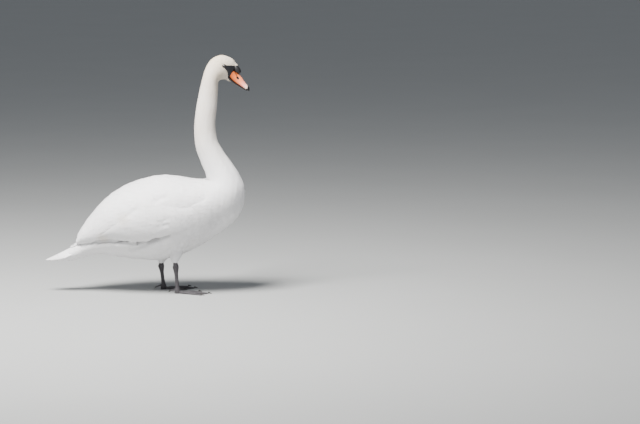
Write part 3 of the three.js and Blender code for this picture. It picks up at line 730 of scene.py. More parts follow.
def web_mesh(one, other, side):
    """The web between two toes, thinner and a little hollow towards its free edge."""
    (length_a, a), (length_b, b) = toe_line(one, side), toe_line(other, side)
    s, t = grid(np.linspace(0.06, 1, 30), np.linspace(0, 1, 16))
    a, b = length_a * a, length_b * b
    edge = ((1 - t) ** 2)[..., None] * a + (0.9 * t * (1 - t))[..., None] * (a + b) + (t**2)[..., None] * b
    under = s[..., None] * edge
    top = under.copy()
    folds = 1 + 0.35 * np.cos(2 * np.pi * 3 * t) * s
    top[..., 2] = WEB * (1.5 - 0.9 * s) * folds
    return closed_plate("web", top, under)


def hind_toe_mesh():
    """The small hind toe, which hangs behind the foot clear of the ground."""
    s = np.linspace(0, 1, 16)[:, None]
    p = full_turn(16)[None, :]
    radius = HIND_TOE["radius"] * (1 - 0.35 * s) * np.sqrt(1 - 0.8 * s**10)
    x = HIND_TOE["start"] - HIND_TOE["length"] * s + 0 * p
    z = HIND_TOE["height"] - HIND_TOE["drop"] * s**1.5 + radius * np.cos(p)
    return closed_tube("hind_toe", np.stack([x, radius * np.sin(p), z], axis=-1))


def turned(x, y, angle):
    """A place turned about the origin: x cos - y sin and x sin + y cos."""
    return x * cos(angle) - y * sin(angle), x * sin(angle) + y * cos(angle)


def set_on_foot(mesh, side):
    """Turns a foot's mesh and moves it to its place under the leg."""
    x, y, z = points_of(mesh).T
    x, y = turned(x, y, LEGS[side]["turn"])
    moved = np.stack([x + LEGS[side]["foot"][0] * MM, y + side * LEG_SPREAD, z], axis=-1)
    mesh.vertices.foreach_set("co", moved.astype(np.float32).ravel())
    mesh.update()
    return mesh


def shank_mesh(side):
    """The shank with the hock's swelling, from inside the thigh to inside the foot."""
    (hock_x, hock_z), (foot_x, foot_z) = LEGS[side]["hock"], LEGS[side]["foot"]
    cuff_x, cuff_z, _ = LEGS[side]["thigh"][-1]
    rows = [(cuff_x, cuff_z + 12, 7, 6), (cuff_x, cuff_z, 8.2, 7.2), (hock_x + 0.5, hock_z + 7, 11.3, 9.3),
            (hock_x, hock_z, 12.8, 10.3)]
    for share, depth, width in SHANK:
        rows.append((mix(share, hock_x, foot_x), mix(share, hock_z, foot_z), depth, width))
    rows += [(foot_x, foot_z, 9.5, 9), (foot_x, foot_z - 6, 8, 8)]
    return closed_tube("shank", level_rings(rows, side))


for side in (RIGHT, LEFT):
    thigh = thigh_surface(side)(np.linspace(0, 3.7, 24)[:, None], full_turn(40)[None, :], THIGH_COAT)
    skin_parts += [closed_tube("thigh", thigh), shank_mesh(side)]

    rings = level_rings(KNUCKLE, side) - (0, side * LEG_SPREAD, 0)
    rings[..., 2] = np.maximum(rings[..., 2], 0)
    foot = [closed_tube("knuckle", rings), hind_toe_mesh()]
    foot += [toe_mesh(spec, side) for spec in TOES.values()]
    inner, middle, outer = TOES.values()
    foot += [web_mesh(inner, middle, side), web_mesh(middle, outer, side)]
    skin_parts += [set_on_foot(mesh, side) for mesh in foot]


def united(meshes):
    """One closed mesh of all the parts, joined where they meet."""
    objects = [bpy.data.objects.new(mesh.name, mesh) for mesh in meshes]
    for part in objects:
        bpy.context.scene.collection.objects.link(part)
    whole = objects[0]
    for part in objects[1:]:
        union = whole.modifiers.new("union", "BOOLEAN")
        union.operation = "UNION"
        union.solver = "MANIFOLD"
        union.object = part
    graph = bpy.context.evaluated_depsgraph_get()
    mesh = bpy.data.meshes.new_from_object(whole.evaluated_get(graph))
    for part in objects:
        bpy.data.objects.remove(part)
    return mesh


skin_mesh = united(skin_parts)
skin_mesh.shade_smooth()
skin_points = points_of(skin_mesh).astype(float)


def mark(mesh, name, values):
    """Stores one number for each point of a mesh, for its material."""
    mesh.attributes.new(name, "FLOAT", "POINT").data.foreach_set("value", np.asarray(values, np.float32))


CUFFS = {side: np.array(LEGS[side]["thigh"][-1][:2]) * MM for side in LEGS}
cuff_height = np.where(skin_points[:, 1] < 0, CUFFS[RIGHT][1], CUFFS[LEFT][1])
mark(skin_mesh, "bare", bareness(skin_points) / MM)
mark(skin_mesh, "leg", (cuff_height - skin_points[:, 2]) / MM)

WHITE = (0.84, 0.83, 0.84, 1)
CREAM = (0.61, 0.51, 0.375, 1)
CREAM_PATCHES = [((-90, -145, 315), 45), ((-178, -90, 233), 40)]  # place in millimetres and width


def plumage_colour(place):
    """White, with a cream stain on head and neck and a cream tint in two patches of the wing, for skin and
    coat alike.
    """
    x, y, z = place.axes()
    cream = (0.5 * z.rise(0.47, 0.68) + 0.4 * z.rise(0.76, 0.9)) * x.rise(0.1, 0.2)
    for (px, py, pz), width in CREAM_PATCHES:
        far = ((x - px * MM) ** 2 + (abs(y) + py * MM) ** 2 + (z - pz * MM) ** 2) ** 0.5
        cream = cream.over(0.4 - 0.4 * far.rise(0, width * MM))
    cloud = place.noise(9, 3).rise(0.3, 0.75)
    return (cream * (0.7 + 0.3 * cloud) + 0.05 * cloud).tint(WHITE, CREAM)


skin_paint, shader, place = new_material("skin", Roughness=0.6)
bare = place.stored("bare")
leg = place.stored("leg")
wobble = place.noise(700, 2) * 0.5 - 0.25
is_bare = (bare + wobble).rise(-0.3, 0.3)
is_leg = leg.rise(-1, 1)
wrinkles = place.noise(160, 5, Distortion=1.5)
face_black = wrinkles.tint((0.001, 0.001, 0.002, 1), (0.006, 0.006, 0.009, 1))
scales = place.node("TexVoronoi", {"feature": "DISTANCE_TO_EDGE"}, 0, Vector=place, Scale=430, Randomness=0.7)
plates = scales.rise(0.02, 0.16)
plate_grey = place.noise(60, 3).tint((0.05, 0.045, 0.05, 1), (0.1, 0.09, 0.1, 1))
leg_grey = plates.tint((0.018, 0.016, 0.018, 1), plate_grey)
colour = is_bare.tint(plumage_colour(place), face_black)
feed(shader, "Base Color", is_leg.tint(colour, leg_grey))
feed(shader, "Roughness", (is_bare * -0.15 + is_leg * -0.08 + 0.62) + wrinkles * 0.05)
bumpy(shader, is_leg * plates + (1 - is_leg) * wrinkles * is_bare, 0.8, 0.35 * MM)
skin_nodes = ["head", "lore_right", "lore_left", "neck_upper", "neck_middle", "neck_lower", "trunk"]
for _, name in SIDES:
    skin_nodes += [f"wing_{name}_scapulars", f"wing_{name}_coverts"]
    skin_nodes += [f"thigh_{name}", f"shank_{name}", f"foot_{name}"]
add_piece("swan_skin", skin_mesh, skin_paint, "body_plumage", *skin_nodes)

# ---------------------------------------------------------------------------- bill
# A shell of horn over bone: a deep upper bill with open nostrils, orange paling to pink, a black lower bill
# that shows as a thin strip under it, and a hooked black nail on the tip.
BILL_LINES = np.array([
    # along, top, mouth, lower edge, half width
    (0.4, 34, 0.5, -9, 17.5), (8, 33, -4, -13, 17.5), (18, 30, -6.5, -15.5, 16.8), (27, 27, -8, -16.5, 16),
    (34, 26.2, -9, -17, 15.5), (48, 22, -10, -17, 15), (64, 14, -10.5, -16.5, 15.2),
    (80, 8, -11, -15.5, 15.4), (88, 5.5, -11, -14, 13.6), (95, 3.2, -10.5, -12, 9.5),
    (99, -2.5, -9.5, -10, 4),
])
TOP, MOUTH, LOWER_EDGE = 1, 2, 3  # columns of its heights
BILL_TIP = 99
BLUNT_FROM = 89  # where the tip starts to round off
JAW_TIP = 92
JAW = {"blunt_from": 80, "rounding": 3.4, "width": 0.84, "rise": 0.35}
NOSTRIL = {"along": 34.5, "up": 13, "length": 7.4, "height": 4.2, "depth": 4, "tilt": radians(-14)}
# A shallow trough runs along this line, and painted shade darkens it.
GROOVE = (9, 30.5, 31, 16)  # from the peak of the orange down to the nostril
GROOVE_WIDTH, GROOVE_DEPTH = 2.4, 0.75
CHEEK = {"along": 14, "up": 4, "length": 9, "height": 6, "bulge": 0.5}
NAIL_BORDER = (81, 87)  # where the nail begins, on top and at the sides
NAIL_HOOK = (2.6, 3)  # how far its tip reaches on and down past the bill's
# The black markings: a band at the root, a lip along the mouth, and rims round nostril and knob, whose shares
# are turned into millimetres.
BLACK_ROOT, BLACK_LIP, BLACK_RIM = 3.2, 1.3, 1.04
NOSTRIL_SPAN, KNOB_SPAN = 8, 14
# The knob: its middle along and above the bill's line, half length, height and width, how far its length
# droops, how square it is, and how much wider it is in front.
KNOB = {"middle": (12, 41.5), "half": (22, 13, 13.4), "droop": radians(22), "fullness": 0.88, "front": 0.12}


def bill_ring(along, angle, top, low, squeeze=1.0, rise=-0.3, grow=0.0):
    """Distance along, height and width in millimetres at an angle round a length of the bill: a middle
    height + half the height times cos(angle), and half width times sin(angle) (1 + rise cos(angle))."""
    rows = curve_through(BILL_LINES, np.interp(along, BILL_LINES[:, 0], np.arange(len(BILL_LINES))))
    blunt = np.sqrt(1 - 0.97 * np.clip((along - BLUNT_FROM) / (BILL_TIP - BLUNT_FROM), 0, 1) ** 4)
    middle, half = (rows[..., top] + rows[..., low]) / 2, (rows[..., top] - rows[..., low]) / 2
    height = middle + (half * blunt + grow) * np.cos(angle)
    width = (squeeze * rows[..., 4] * blunt + grow) * np.sin(angle) * (1 + rise * np.cos(angle))
    return np.stack([along + 0 * angle, height, width], axis=-1)


def on_bill(points):
    """Places in the bird's frame of points given along the bill, up from its line and across."""
    along, up, across = np.moveaxis(points * MM, -1, 0)
    return BILL_ROOT + along[..., None] * BILL_AXIS + up[..., None] * BILL_UP + across[..., None] * (0, 1, 0)


def from_nostril(along, up):
    """Distance from the middle of the nostril, 1 on its edge."""
    x, z = turned(along - NOSTRIL["along"], up - NOSTRIL["up"], -NOSTRIL["tilt"])
    return np.hypot(x / NOSTRIL["length"], z / NOSTRIL["height"])


def from_knob(points):
    """Distance from the knob's middle, 1 on its surface."""
    (along, up), (length, height, width) = KNOB["middle"], KNOB["half"]
    x, z = turned(points[..., 0] - along, points[..., 1] - up, KNOB["droop"])
    return np.sqrt((x / length) ** 2 + (z / height) ** 2 + (points[..., 2] / width) ** 2)


BILL_START = BILL_LINES[0, 0]
along, angle = grid(np.linspace(BILL_START, BILL_TIP, 170), np.linspace(-np.pi, np.pi, 144, endpoint=False))
upper = bill_ring(along, angle, TOP, MOUTH, rise=-0.3 + 0.17 * (1 - step_up(along, 5, 45)))
hole = from_nostril(upper[..., 0], upper[..., 1])
pit = NOSTRIL["depth"] * (1 - step_up(hole, 0.5, 1.08)) - 0.3 * np.exp(-((hole - 1.3) / 0.25) ** 2)
channel = np.exp(-(from_line(upper[..., 0], upper[..., 1], *GROOVE) / GROOVE_WIDTH) ** 2)
cheek = np.exp(-((along - CHEEK["along"]) / CHEEK["length"]) ** 2
               - ((upper[..., 1] - CHEEK["up"]) / CHEEK["height"]) ** 2)
inwards = pit + GROOVE_DEPTH * channel - CHEEK["bulge"] * cheek
inwards = np.minimum(inwards, np.abs(upper[..., 2]))
carved = upper - np.sign(upper) * inwards[..., None] * (0, 0, 1)
upper_bill = closed_tube("upper_bill", on_bill(carved))
blackness = np.maximum.reduce([
    BLACK_ROOT - along, upper[:, 0, 1, None] + BLACK_LIP - upper[..., 1],
    NOSTRIL_SPAN * (BLACK_RIM - hole), KNOB_SPAN * (BLACK_RIM - from_knob(upper)),
    upper[..., 0] - NAIL_BORDER[1] - 1,
])
mark(upper_bill, "black", np.append(blackness, [3, 3]))  # the last two points close the ends
# The trough's share is stored for the material, which paints shade along it.
mark(upper_bill, "groove_shade", np.append(channel, [0, 0]))

# Distances along the bill and the colour there.
ORANGE = [(4, (0.46, 0.075, 0.002, 1)), (26, (0.76, 0.165, 0.03, 1)), (48, (0.95, 0.25, 0.1, 1)),
          (68, (0.98, 0.34, 0.26, 1)), (84, (1, 0.7, 0.58, 1))]
BLACK_HORN = (0.012, 0.011, 0.012, 1)


def striae(place):
    """Fine streaks that run the length of the bill."""
    turned = place.node("Mapping", i2=(0, -BILL_PITCH, 0), i3=(60, 700, 700), Vector=place)
    return turned.noise(1, 3)


orange_paint, shader, place = new_material("orange_bill", Roughness=0.4, Coat_Weight=0.15, Coat_Roughness=0.3)
a = place.along(BILL_AXIS, BILL_ROOT) / MM
b = place.along(BILL_UP, BILL_ROOT) / MM
colour = a.rise(ORANGE[0][0], ORANGE[1][0]).tint(ORANGE[0][1], ORANGE[1][1])
for (start, _), (end, following) in zip(ORANGE[1:], ORANGE[2:]):
    colour = a.rise(start, end).tint(colour, following)
mottle = place.noise(120, 4)
colour = (mottle.rise(0.45, 0.75) * 0.35).tint(colour, (0.66, 0.21, 0.07, 1))
# painted shade: along the trough from the orange's peak to the nostril the orange is darkened to a deep brown
colour = (place.stored("groove_shade") * 0.9).tint(colour, (0.07, 0.022, 0.012, 1))
wobble = place.noise(500) * 0.6 - 0.3
is_black = (place.stored("black") + wobble).rise(-0.35, 0.35)
feed(shader, "Base Color", is_black.tint(colour, BLACK_HORN))
feed(shader, "Roughness", mottle * 0.15 + is_black * 0.35 + 0.3)
feed(shader, "Coat Weight", (1 - is_black) * 0.15)
bumpy(shader, striae(place) * 0.6 + mottle * 0.4, 0.5, 0.25 * MM)
add_piece("swan_bill_upper", upper_bill, orange_paint, "orange_bill", "bill_upper")

horn_paint, shader, place = new_material("black_horn", Roughness=0.33)
grain = striae(place)
feed(shader, "Base Color", grain.tint((0.008, 0.007, 0.008, 1), (0.022, 0.02, 0.021, 1)))
feed(shader, "Roughness", grain * 0.2 + 0.25)
bumpy(shader, grain, 0.5, 0.2 * MM)
along, angle = grid(np.linspace(BILL_START, JAW_TIP, 80), full_turn(64))
rounded = -JAW["rounding"] * step_up(along, JAW["blunt_from"], JAW_TIP)
lower = bill_ring(along, angle, MOUTH, LOWER_EDGE, squeeze=JAW["width"], rise=JAW["rise"], grow=rounded)
add_piece("swan_bill_lower", closed_tube("lower_bill", on_bill(lower)), horn_paint, "bare_skin", "bill_lower")

share, angle = grid(np.linspace(0, 1, 40), full_turn(72))
border = mix(np.abs(np.sin(angle)) ** 1.3, *NAIL_BORDER)
nail = bill_ring(mix(share, border, BILL_TIP), angle, TOP, MOUTH, grow=mix(step_up(share, 0, 0.13), -1, 0.65))
nail[..., 0] += NAIL_HOOK[0] * share**3
nail[..., 1] -= NAIL_HOOK[1] * share**2
add_piece("swan_nail", closed_tube("nail", on_bill(nail)), horn_paint, "bill_horn", "bill_nail")

# ---------------------------------------------------------------------------- knob
# The knob is a soft fleshy swelling, bare and black with a satin surface, that sits over the root of the
# upper bill and hangs forward over it.


def fuller(value):
    """A sine or cosine made fuller, so that a ball turns a little squarer."""
    return np.sign(value) * np.abs(value) ** KNOB["fullness"]


t = np.linspace(0, np.pi, 66)[1:-1, None]
p = full_turn(96)[None, :]
length, height, width = KNOB["half"]
forward = length * fuller(np.cos(t)) + 0 * p
up = height * fuller(np.sin(t)) * np.cos(p)
across = width * fuller(np.sin(t)) * np.sin(p) * (1 + KNOB["front"] * np.cos(t))
droop_cos, droop_sin = cos(KNOB["droop"]), sin(KNOB["droop"])
knob = np.stack([KNOB["middle"][0] + forward * droop_cos + up * droop_sin,
                 KNOB["middle"][1] - forward * droop_sin + up * droop_cos, across], axis=-1)
knob_paint, shader, place = new_material("knob", Roughness=0.4, Coat_Weight=0.1, Coat_Roughness=0.4)
folds = place.noise(110, 5, Distortion=1.2)
feed(shader, "Base Color", folds.tint((0.002, 0.002, 0.002, 1), (0.009, 0.008, 0.01, 1)))
feed(shader, "Roughness", folds * 0.2 + 0.4)
bumpy(shader, folds, 0.6, 0.5 * MM)
add_piece("swan_knob", closed_tube("knob", on_bill(knob)), knob_paint, "bare_skin", "bill_knob")

# ---------------------------------------------------------------------------- claws
# Short blunt claws of dark horn grow from the ends of the toes, curved down nearly to the ground: one on each
# toe in front, and a smaller one behind.
CLAW = {"length": 15 * MM, "radius": 3.4 * MM, "root": 1.6 * MM, "tip": 0.3 * MM}
HIND_CLAW_SHARE = 0.62
HIND_CLAW_HEIGHT = 5.5 * MM

claw_paint, shader, place = new_material("claw_horn", Roughness=0.35)
growth = place.noise(300, 4)
feed(shader, "Base Color", growth.tint((0.012, 0.011, 0.01, 1), (0.045, 0.038, 0.032, 1)))
bumpy(shader, growth, 0.5, 0.2 * MM)


def claw_mesh(start, ahead, share, root):
    """A cone of radius (1 - s) to the power 0.7, whose middle falls as the square of s from its root."""
    s = np.linspace(-0.12, 1, 26)[:, None]
    p = full_turn(20)[None, :]
    radius = CLAW["radius"] * np.minimum(1 - s, 1) ** 0.7 + CLAW["tip"] * (s < 1)
    across = np.array([-ahead[1], ahead[0], 0])
    points = start + (CLAW["length"] * share * s)[..., None] * ahead
    points = points + (0.75 * radius * np.cos(p))[..., None] * across
    middle = root * (1 - s * np.abs(s)) + CLAW["radius"] * np.minimum(1 - s, 1) ** 0.7 + 2 * CLAW["tip"]
    points[..., 2] = middle + radius * np.sin(p) * np.where(np.sin(p) < 0, 0.8, 1)
    return closed_tube("claw", points)


for side, name in SIDES:
    for toe, spec in TOES.items():
        length, ahead = toe_line(spec, side)
        mesh = set_on_foot(claw_mesh(length * ahead, ahead, 1, CLAW["root"]), side)
        add_piece(f"swan_claw_{name}_{toe}", mesh, claw_paint, "claw_horn", f"claw_{name}_{toe}")
    end = np.array([HIND_TOE["start"] - HIND_TOE["length"], 0, 0])
    mesh = set_on_foot(claw_mesh(end, np.array([-1, 0, 0]), HIND_CLAW_SHARE, HIND_CLAW_HEIGHT), side)
    add_piece(f"swan_claw_{name}_hind", mesh, claw_paint, "claw_horn", f"claw_{name}_hind")

# ---------------------------------------------------------------------------- coat
# Contour feathers hide the skin. They lie from the bill towards the tail like shingles: each springs from the
# skin under the one before it, and its tip lies at the form's surface. They are short and fine on the head,
# like plush on the neck and broad on the body.
random = np.random.default_rng(7)
# Forms of feathers: half widths from root to tip, as shares of the widest, and how many points lie across.
PLUSH = ((0.5, 1, 0.85, 0.3), 3)
BROAD = ((0.3, 0.75, 1, 1, 0.85, 0.38), 5)
IN_SKIN = 0.3 * MM  # how deep a feather's root sits in the skin
SINK_POWER = 2.3  # how fast a feather rises from its root to the outside
CURL = 0.06  # how far its sides fall back at the tip, as a share of its length
CAMBER = 0.025  # how far its sides bend down, as a share of its half width
BAKE_PATCH = 0.003  # width of its patch in the map OFBake
SLOPE_STEP = 1e-3  # over which slopes of a surface are taken
EVEN_TURNS = (0.7548776662, 0.5698402910)  # powers of the plastic number's inverse, which spread points


def unit(vectors):
    """The vectors divided by their lengths."""
    return vectors / np.linalg.norm(vectors, axis=-1, keepdims=True)


def dot(first, second):
    """The products of vectors, summed over x, y and z."""
    return np.sum(first * second, axis=-1)


def lie_frame(surface, a, b, turn):
    """At places of a surface: steps of its two parameters that move 1 m along the lie of the feathers, and
    1 m to its left. The lie is turned from the first parameter's direction. Both come from the surface's
    slopes ta and tb by solving da ta + db tb = direction."""
    ta = (surface(a + SLOPE_STEP, b) - surface(a - SLOPE_STEP, b)) / (2 * SLOPE_STEP)
    tb = (surface(a, b + SLOPE_STEP) - surface(a, b - SLOPE_STEP)) / (2 * SLOPE_STEP)
    out = unit(np.cross(ta, tb))
    out *= np.sign(dot(out, surface(a, b) - surface(a, b, MM)))[..., None]
    first = unit(ta)
    lie = np.cos(turn)[..., None] * first + np.sin(turn)[..., None] * np.cross(out, first)
    aa, ab, bb = dot(ta, ta), dot(ta, tb), dot(tb, tb)
    steps = []
    for direction in (lie, np.cross(out, lie)):
        da, db = dot(direction, ta), dot(direction, tb)
        steps.append(np.stack([da * bb - db * ab, db * aa - da * ab], axis=-1) / (aa * bb - ab**2)[..., None])
    return steps


def vane_points(surface, roots, length, width, depth, turn, lift, form):
    """Points of feathers laid along a surface, (feathers, rows, columns, 3). Their middle lines step from row
    to row along the lie, their sides spread by the form, their depth falls from the root's to nothing as a
    power of what is left of the length, and their tips lift as the square of the distance. Each size is one
    number for all of them or one for each."""
    a, b = roots.T.copy()
    length, width, depth, turn, lift = (
        np.broadcast_to(size, a.shape) for size in (length, width, depth, turn, lift))
    widths, columns = form
    rows = len(widths)
    u = np.linspace(-1, 1, columns)
    points = np.empty((len(a), rows, columns, 3))
    for row, w in enumerate(np.linspace(0, 1, rows)):
        ahead, aside = lie_frame(surface, a, b, turn)
        half = (width / 2 * widths[row])[:, None] * u
        behind = -(CURL * length)[:, None] * u**2 * w
        place = np.stack([a, b], axis=-1)[:, None] + half[..., None] * aside[:, None]
        place = place + behind[..., None] * ahead[:, None]
        sunk = depth * (1 - w) ** SINK_POWER - lift * w**2
        camber = CAMBER * half * u
        points[:, row] = surface(place[..., 0], place[..., 1], sunk[:, None] + camber)
        a, b = a + ahead[:, 0] * length / (rows - 1), b + ahead[:, 1] * length / (rows - 1)
    return points


def lay_out(mesh, vane, unrolled):
    """Stores for each point its place on its vane, and for each corner its place in the map OFBake."""
    places = mesh.attributes.new("vane", "FLOAT_VECTOR", "POINT")
    places.data.foreach_set("vector", vane.astype(np.float32).ravel())
    mesh.uv_layers.new(name="OFBake").data.foreach_set("uv", unrolled.astype(np.float32).ravel())
    return mesh


def vane_mesh(name, points, roots):
    """One mesh of many vanes, with u across, w along and a random number of each vane in "vane", and the map
    OFBake, which puts each vane in a patch of its own at its root's place on the unrolled skin."""
    count, rows, columns = points.shape[:3]
    first = np.arange(count)[:, None, None] * rows * columns
    quads = (grid_quads(rows, columns)[None] + first).reshape(-1, 4)
    mesh = new_mesh(name, points, quads)
    w, u = grid(np.linspace(0, 1, rows), np.linspace(-1, 1, columns))
    own = np.broadcast_to(random.random(count)[:, None, None], (count, rows, columns))
    vane = np.stack([np.broadcast_to(u, own.shape), np.broadcast_to(w, own.shape), own], axis=-1)
    low, high = roots.min(axis=0), roots.max(axis=0)
    spread = 0.02 + 0.96 * (roots - low) / (high - low)
    patch = spread[:, None, None, :] + BAKE_PATCH * np.stack([w, u / 2], axis=-1)
    return lay_out(mesh, vane, patch.reshape(-1, 2)[quads.ravel()])


def scattered(surface, a_range, b_range, spacing, allowed):
    """Roots of feathers spread evenly over a surface at a spacing that varies over it, (feathers, 2). Every
    cell of a fine grid gets its area over the spacing squared as its share, and a low-discrepancy sequence is
    put through the inverses of the running sums of the shares, first along, then across."""
    edges_a, edges_b = np.linspace(*a_range, 281), np.linspace(*b_range, 321)
    corners = surface(edges_a[:, None], edges_b[None, :])
    area = np.linalg.norm(np.cross(np.diff(corners, axis=0)[:, :-1], np.diff(corners, axis=1)[:-1]), axis=-1)
    a, b = grid((edges_a[1:] + edges_a[:-1]) / 2, (edges_b[1:] + edges_b[:-1]) / 2)
    share = area / spacing(a, b) ** 2 * allowed(a, b, surface(a, b)) + 1e-12
    count = int(share.sum())
    turns = np.outer(np.arange(1, count + 1), EVEN_TURNS) % 1
    along = np.append(0, np.cumsum(share.sum(axis=1)))
    cell = np.interp(turns[:, 0], along / along[-1], np.arange(len(along)))
    row = np.minimum(cell.astype(int), len(share) - 1)
    across = np.pad(np.cumsum(share, axis=1), ((0, 0), (1, 0)))
    across = across / across[:, -1:] + np.arange(len(share))[:, None]
    found = np.interp(row + turns[:, 1] * 0.999999, across.ravel(), np.tile(edges_b, len(share)))
    return np.stack([np.interp(cell, np.arange(len(edges_a)), edges_a), found], axis=-1)


HIDDEN_STATIONS = (2.2, 8.8)  # of the wing, between which it hides the trunk, and how far inside its edges
HIDDEN_MARGIN = 0.12
CLEAR_OF_FACE = -0.3 * MM
CLEAR_OF_KNOB = 1.03


def edge_at(part, edge, station):
    """The angle of an edge of a part of the wing at a station of the wings."""
    return part[edge]((station - part["begin"]) / (part["end"] - part["begin"]))


def under_wings(station, angle):
    """Whether a place on the trunk is hidden under the folded wings."""
    station, angle = station - WINGS_BEGIN, np.abs(angle)
    beside = (angle > edge_at(SCAPULARS, "upper", station) + HIDDEN_MARGIN) & (
        angle < edge_at(COVERTS, "lower", station) - HIDDEN_MARGIN)
    return (station > HIDDEN_STATIONS[0]) & (station < HIDDEN_STATIONS[1]) & beside


def feathered(station, angle, points):
    """Whether feathers spring from a place: not on the bare face, in the knob or under the wings."""
    from_root = points - BILL_ROOT
    along, up = dot(from_root, BILL_AXIS), dot(from_root, BILL_UP)
    seen = from_knob(np.stack([along, up, points[..., 1]], axis=-1) / MM)
    return (bareness(points) < CLEAR_OF_FACE) & ~under_wings(station, angle) & (seen > CLEAR_OF_KNOB)


# Feathers of head, neck and trunk: station, spacing, length and width in millimetres.
COAT = np.array([
    (0, 1.7, 6.5, 3.2), (3, 1.8, 8, 3.4), (5, 2.1, 11, 4.1), (7.5, 2.5, 14, 5), (10, 2.8, 18, 5.7),
    (13, 3.2, 22, 6.8), (15, 3.8, 26, 9), (17, 5, 32, 13.5), (20, 6.3, 40, 19), (24, 7.2, 46, 22),
    (27, 7.2, 42, 21), (29, 6, 34, 17),
])
# The line along which the breast's feathers part and stand a little off, and how far from it they do.
BREAST_LINE = np.array([(120, 190), (190, 215), (250, 255), (310, 320), (350, 370)]) * MM
RUFFLED_WIDTH = 34 * MM
RUFFLED_LIFT = 5 * MM
PAST_THE_END = 18 * MM  # how far the rearmost feathers reach over the root of the tail
TAIL_END = len(BODY) - 1


def coat_size(station, column):
    """The spacing, length or width of the feathers at a station, evenly between the rows of COAT."""
    return np.interp(station, COAT[:, 0], COAT[:, column]) * MM


plumage, shader, place = new_material("plumage", Roughness=0.62, Sheen_Weight=0.25, Sheen_Roughness=0.4)
u, w, own = place.stored("vane", 1).axes()
shaft = 1 - abs(u).rise(0.03, 0.1)
darker = own * 0.05 + shaft * w.rise(1, 0.5) * 0.1
feed(shader, "Base Color", darker.tint(plumage_colour(place), (0.6, 0.58, 0.55, 1)))
feed(shader, "Roughness", own * 0.1 + 0.58)

# Each piece of the coat: the stations it runs between, and the form of its feathers.
COAT_PIECES = [("head", 0.4, 5.5, PLUSH), ("neck_upper", 5.5, 10.5, PLUSH), ("neck_lower", 10.5, 15.2, PLUSH),
               ("breast", 15.2, 19.5, BROAD), ("trunk", 19.5, 28.9, BROAD)]
for name, begin, end, form in COAT_PIECES:
    roots = scattered(trunk_surface, (begin, end), (-np.pi, np.pi), lambda a, b: coat_size(a, 1), feathered)
    count = len(roots)
    length = coat_size(roots[:, 0], 2) * random.uniform(0.85, 1.15, count)
    width = coat_size(roots[:, 0], 3) * random.uniform(0.9, 1.1, count)
    left = np.linalg.norm(body.point(TAIL_END, roots[:, 1]) - body.point(*roots.T), axis=-1)
    length = np.minimum(length, left + PAST_THE_END)
    lift = random.uniform(-0.15, 0.1, count) * np.interp(roots[:, 0], [0, 15, 20], [0.4, 0.7, 1.3]) * MM
    turn = random.normal(0, 0.06, count)
    places = trunk_surface(*roots.T)
    ruffled = np.exp(-((places[:, 2] - np.interp(places[:, 0], *BREAST_LINE.T)) / RUFFLED_WIDTH) ** 2)
    ruffled *= step_up(places[:, 0], *BREAST_LINE[:2, 0]) * (1 - step_up(places[:, 0], *BREAST_LINE[-2:, 0]))
    lift += RUFFLED_LIFT * ruffled * random.random(count) ** 2
    depth = coat_depth(roots[:, 0]) + IN_SKIN
    points = vane_points(trunk_surface, roots, length, width, depth, turn, lift, form)
    clear = (from_eye(points).min(axis=(1, 2)) - 1) * LIDS[1] > 0.8 * LID_RIM
    mesh = vane_mesh("coat", points[clear], roots[clear])
    add_piece(f"swan_coat_{name}", mesh, plumage, "body_plumage")

# The feathers of the chin lie over an ellipsoid under the bill's root.
CHIN_COAT = 1 * MM
CHIN_FEATHERS = {"spacing": 2 * MM, "length": 6 * MM, "width": 3.4 * MM}


def chin_surface(a, b, depth=0.0):
    """The feathered chin, an ellipsoid with a running from its front end backwards and b round it."""
    ahead, aside, up = chin_axes
    round_it = np.sin(b)[..., None] * aside - np.cos(b)[..., None] * up
    outside = np.cos(a)[..., None] * ahead + np.sin(a)[..., None] * round_it
    return CHIN + outside * (1 + (CHIN_COAT - depth) / chin_axes[2, 2])[..., None]


roots = scattered(chin_surface, (0.15, 2.6), (-1.9, 1.9), lambda a, b: CHIN_FEATHERS["spacing"] + 0 * a,
                  lambda a, b, points: a > 0)
turn = random.normal(0, 0.1, len(roots))
points = vane_points(chin_surface, roots, CHIN_FEATHERS["length"], CHIN_FEATHERS["width"],
                     CHIN_COAT + 0.2 * MM, turn, 0, PLUSH)
add_piece("swan_coat_chin", vane_mesh("chin", points, roots), plumage, "body_plumage")

# ---------------------------------------------------------------------------- wings
# A folded wing shows two overlapping sets of feathers: scapulars, which run out in the long tertials over the
# rump, and below them the coverts. They lie in rows and grow from small at the shoulder to long at the rear.

# Feathers of the wings: share of the way along, spacing, length and width in millimetres.
WING_ROWS = np.array([(0, 8, 34, 17), (0.3, 11, 46, 23), (0.6, 15, 66, 29), (0.85, 19, 92, 32),
                      (1, 22, 110, 32)])
ROWS_BEGIN, ROWS_END = 0.01, 0.86
NUDGE = 0.01  # a step along the wing over which the distance is measured


def in_rows(surface, sizes):
    """Roots of feathers in rows across a wing, every second row set off by half a place. The rows and the
    feathers in them are a spacing apart that grows along the wing."""
    s, row, roots = ROWS_BEGIN, 0, []
    while s < ROWS_END:
        spacing = np.interp(s, sizes[:, 0], sizes[:, 1]) * MM
        t = np.linspace(0, 1, 21)
        across = surface(np.full(len(t), s), t)
        count = round(np.linalg.norm(np.diff(across, axis=0), axis=1).sum() / spacing)
        places = (np.arange(count) + 0.25 + 0.5 * (row % 2)) / count
        roots.append(np.stack([np.full(count, s), places], axis=-1))
        step = np.linalg.norm(surface(np.array([s + NUDGE]), np.array([0.5])) - across[len(t) // 2])
        s, row = s + NUDGE * spacing / step, row + 1
    roots = np.concatenate(roots)
    return roots + random.normal(0, 1, roots.shape) * (0.003, 0.006)


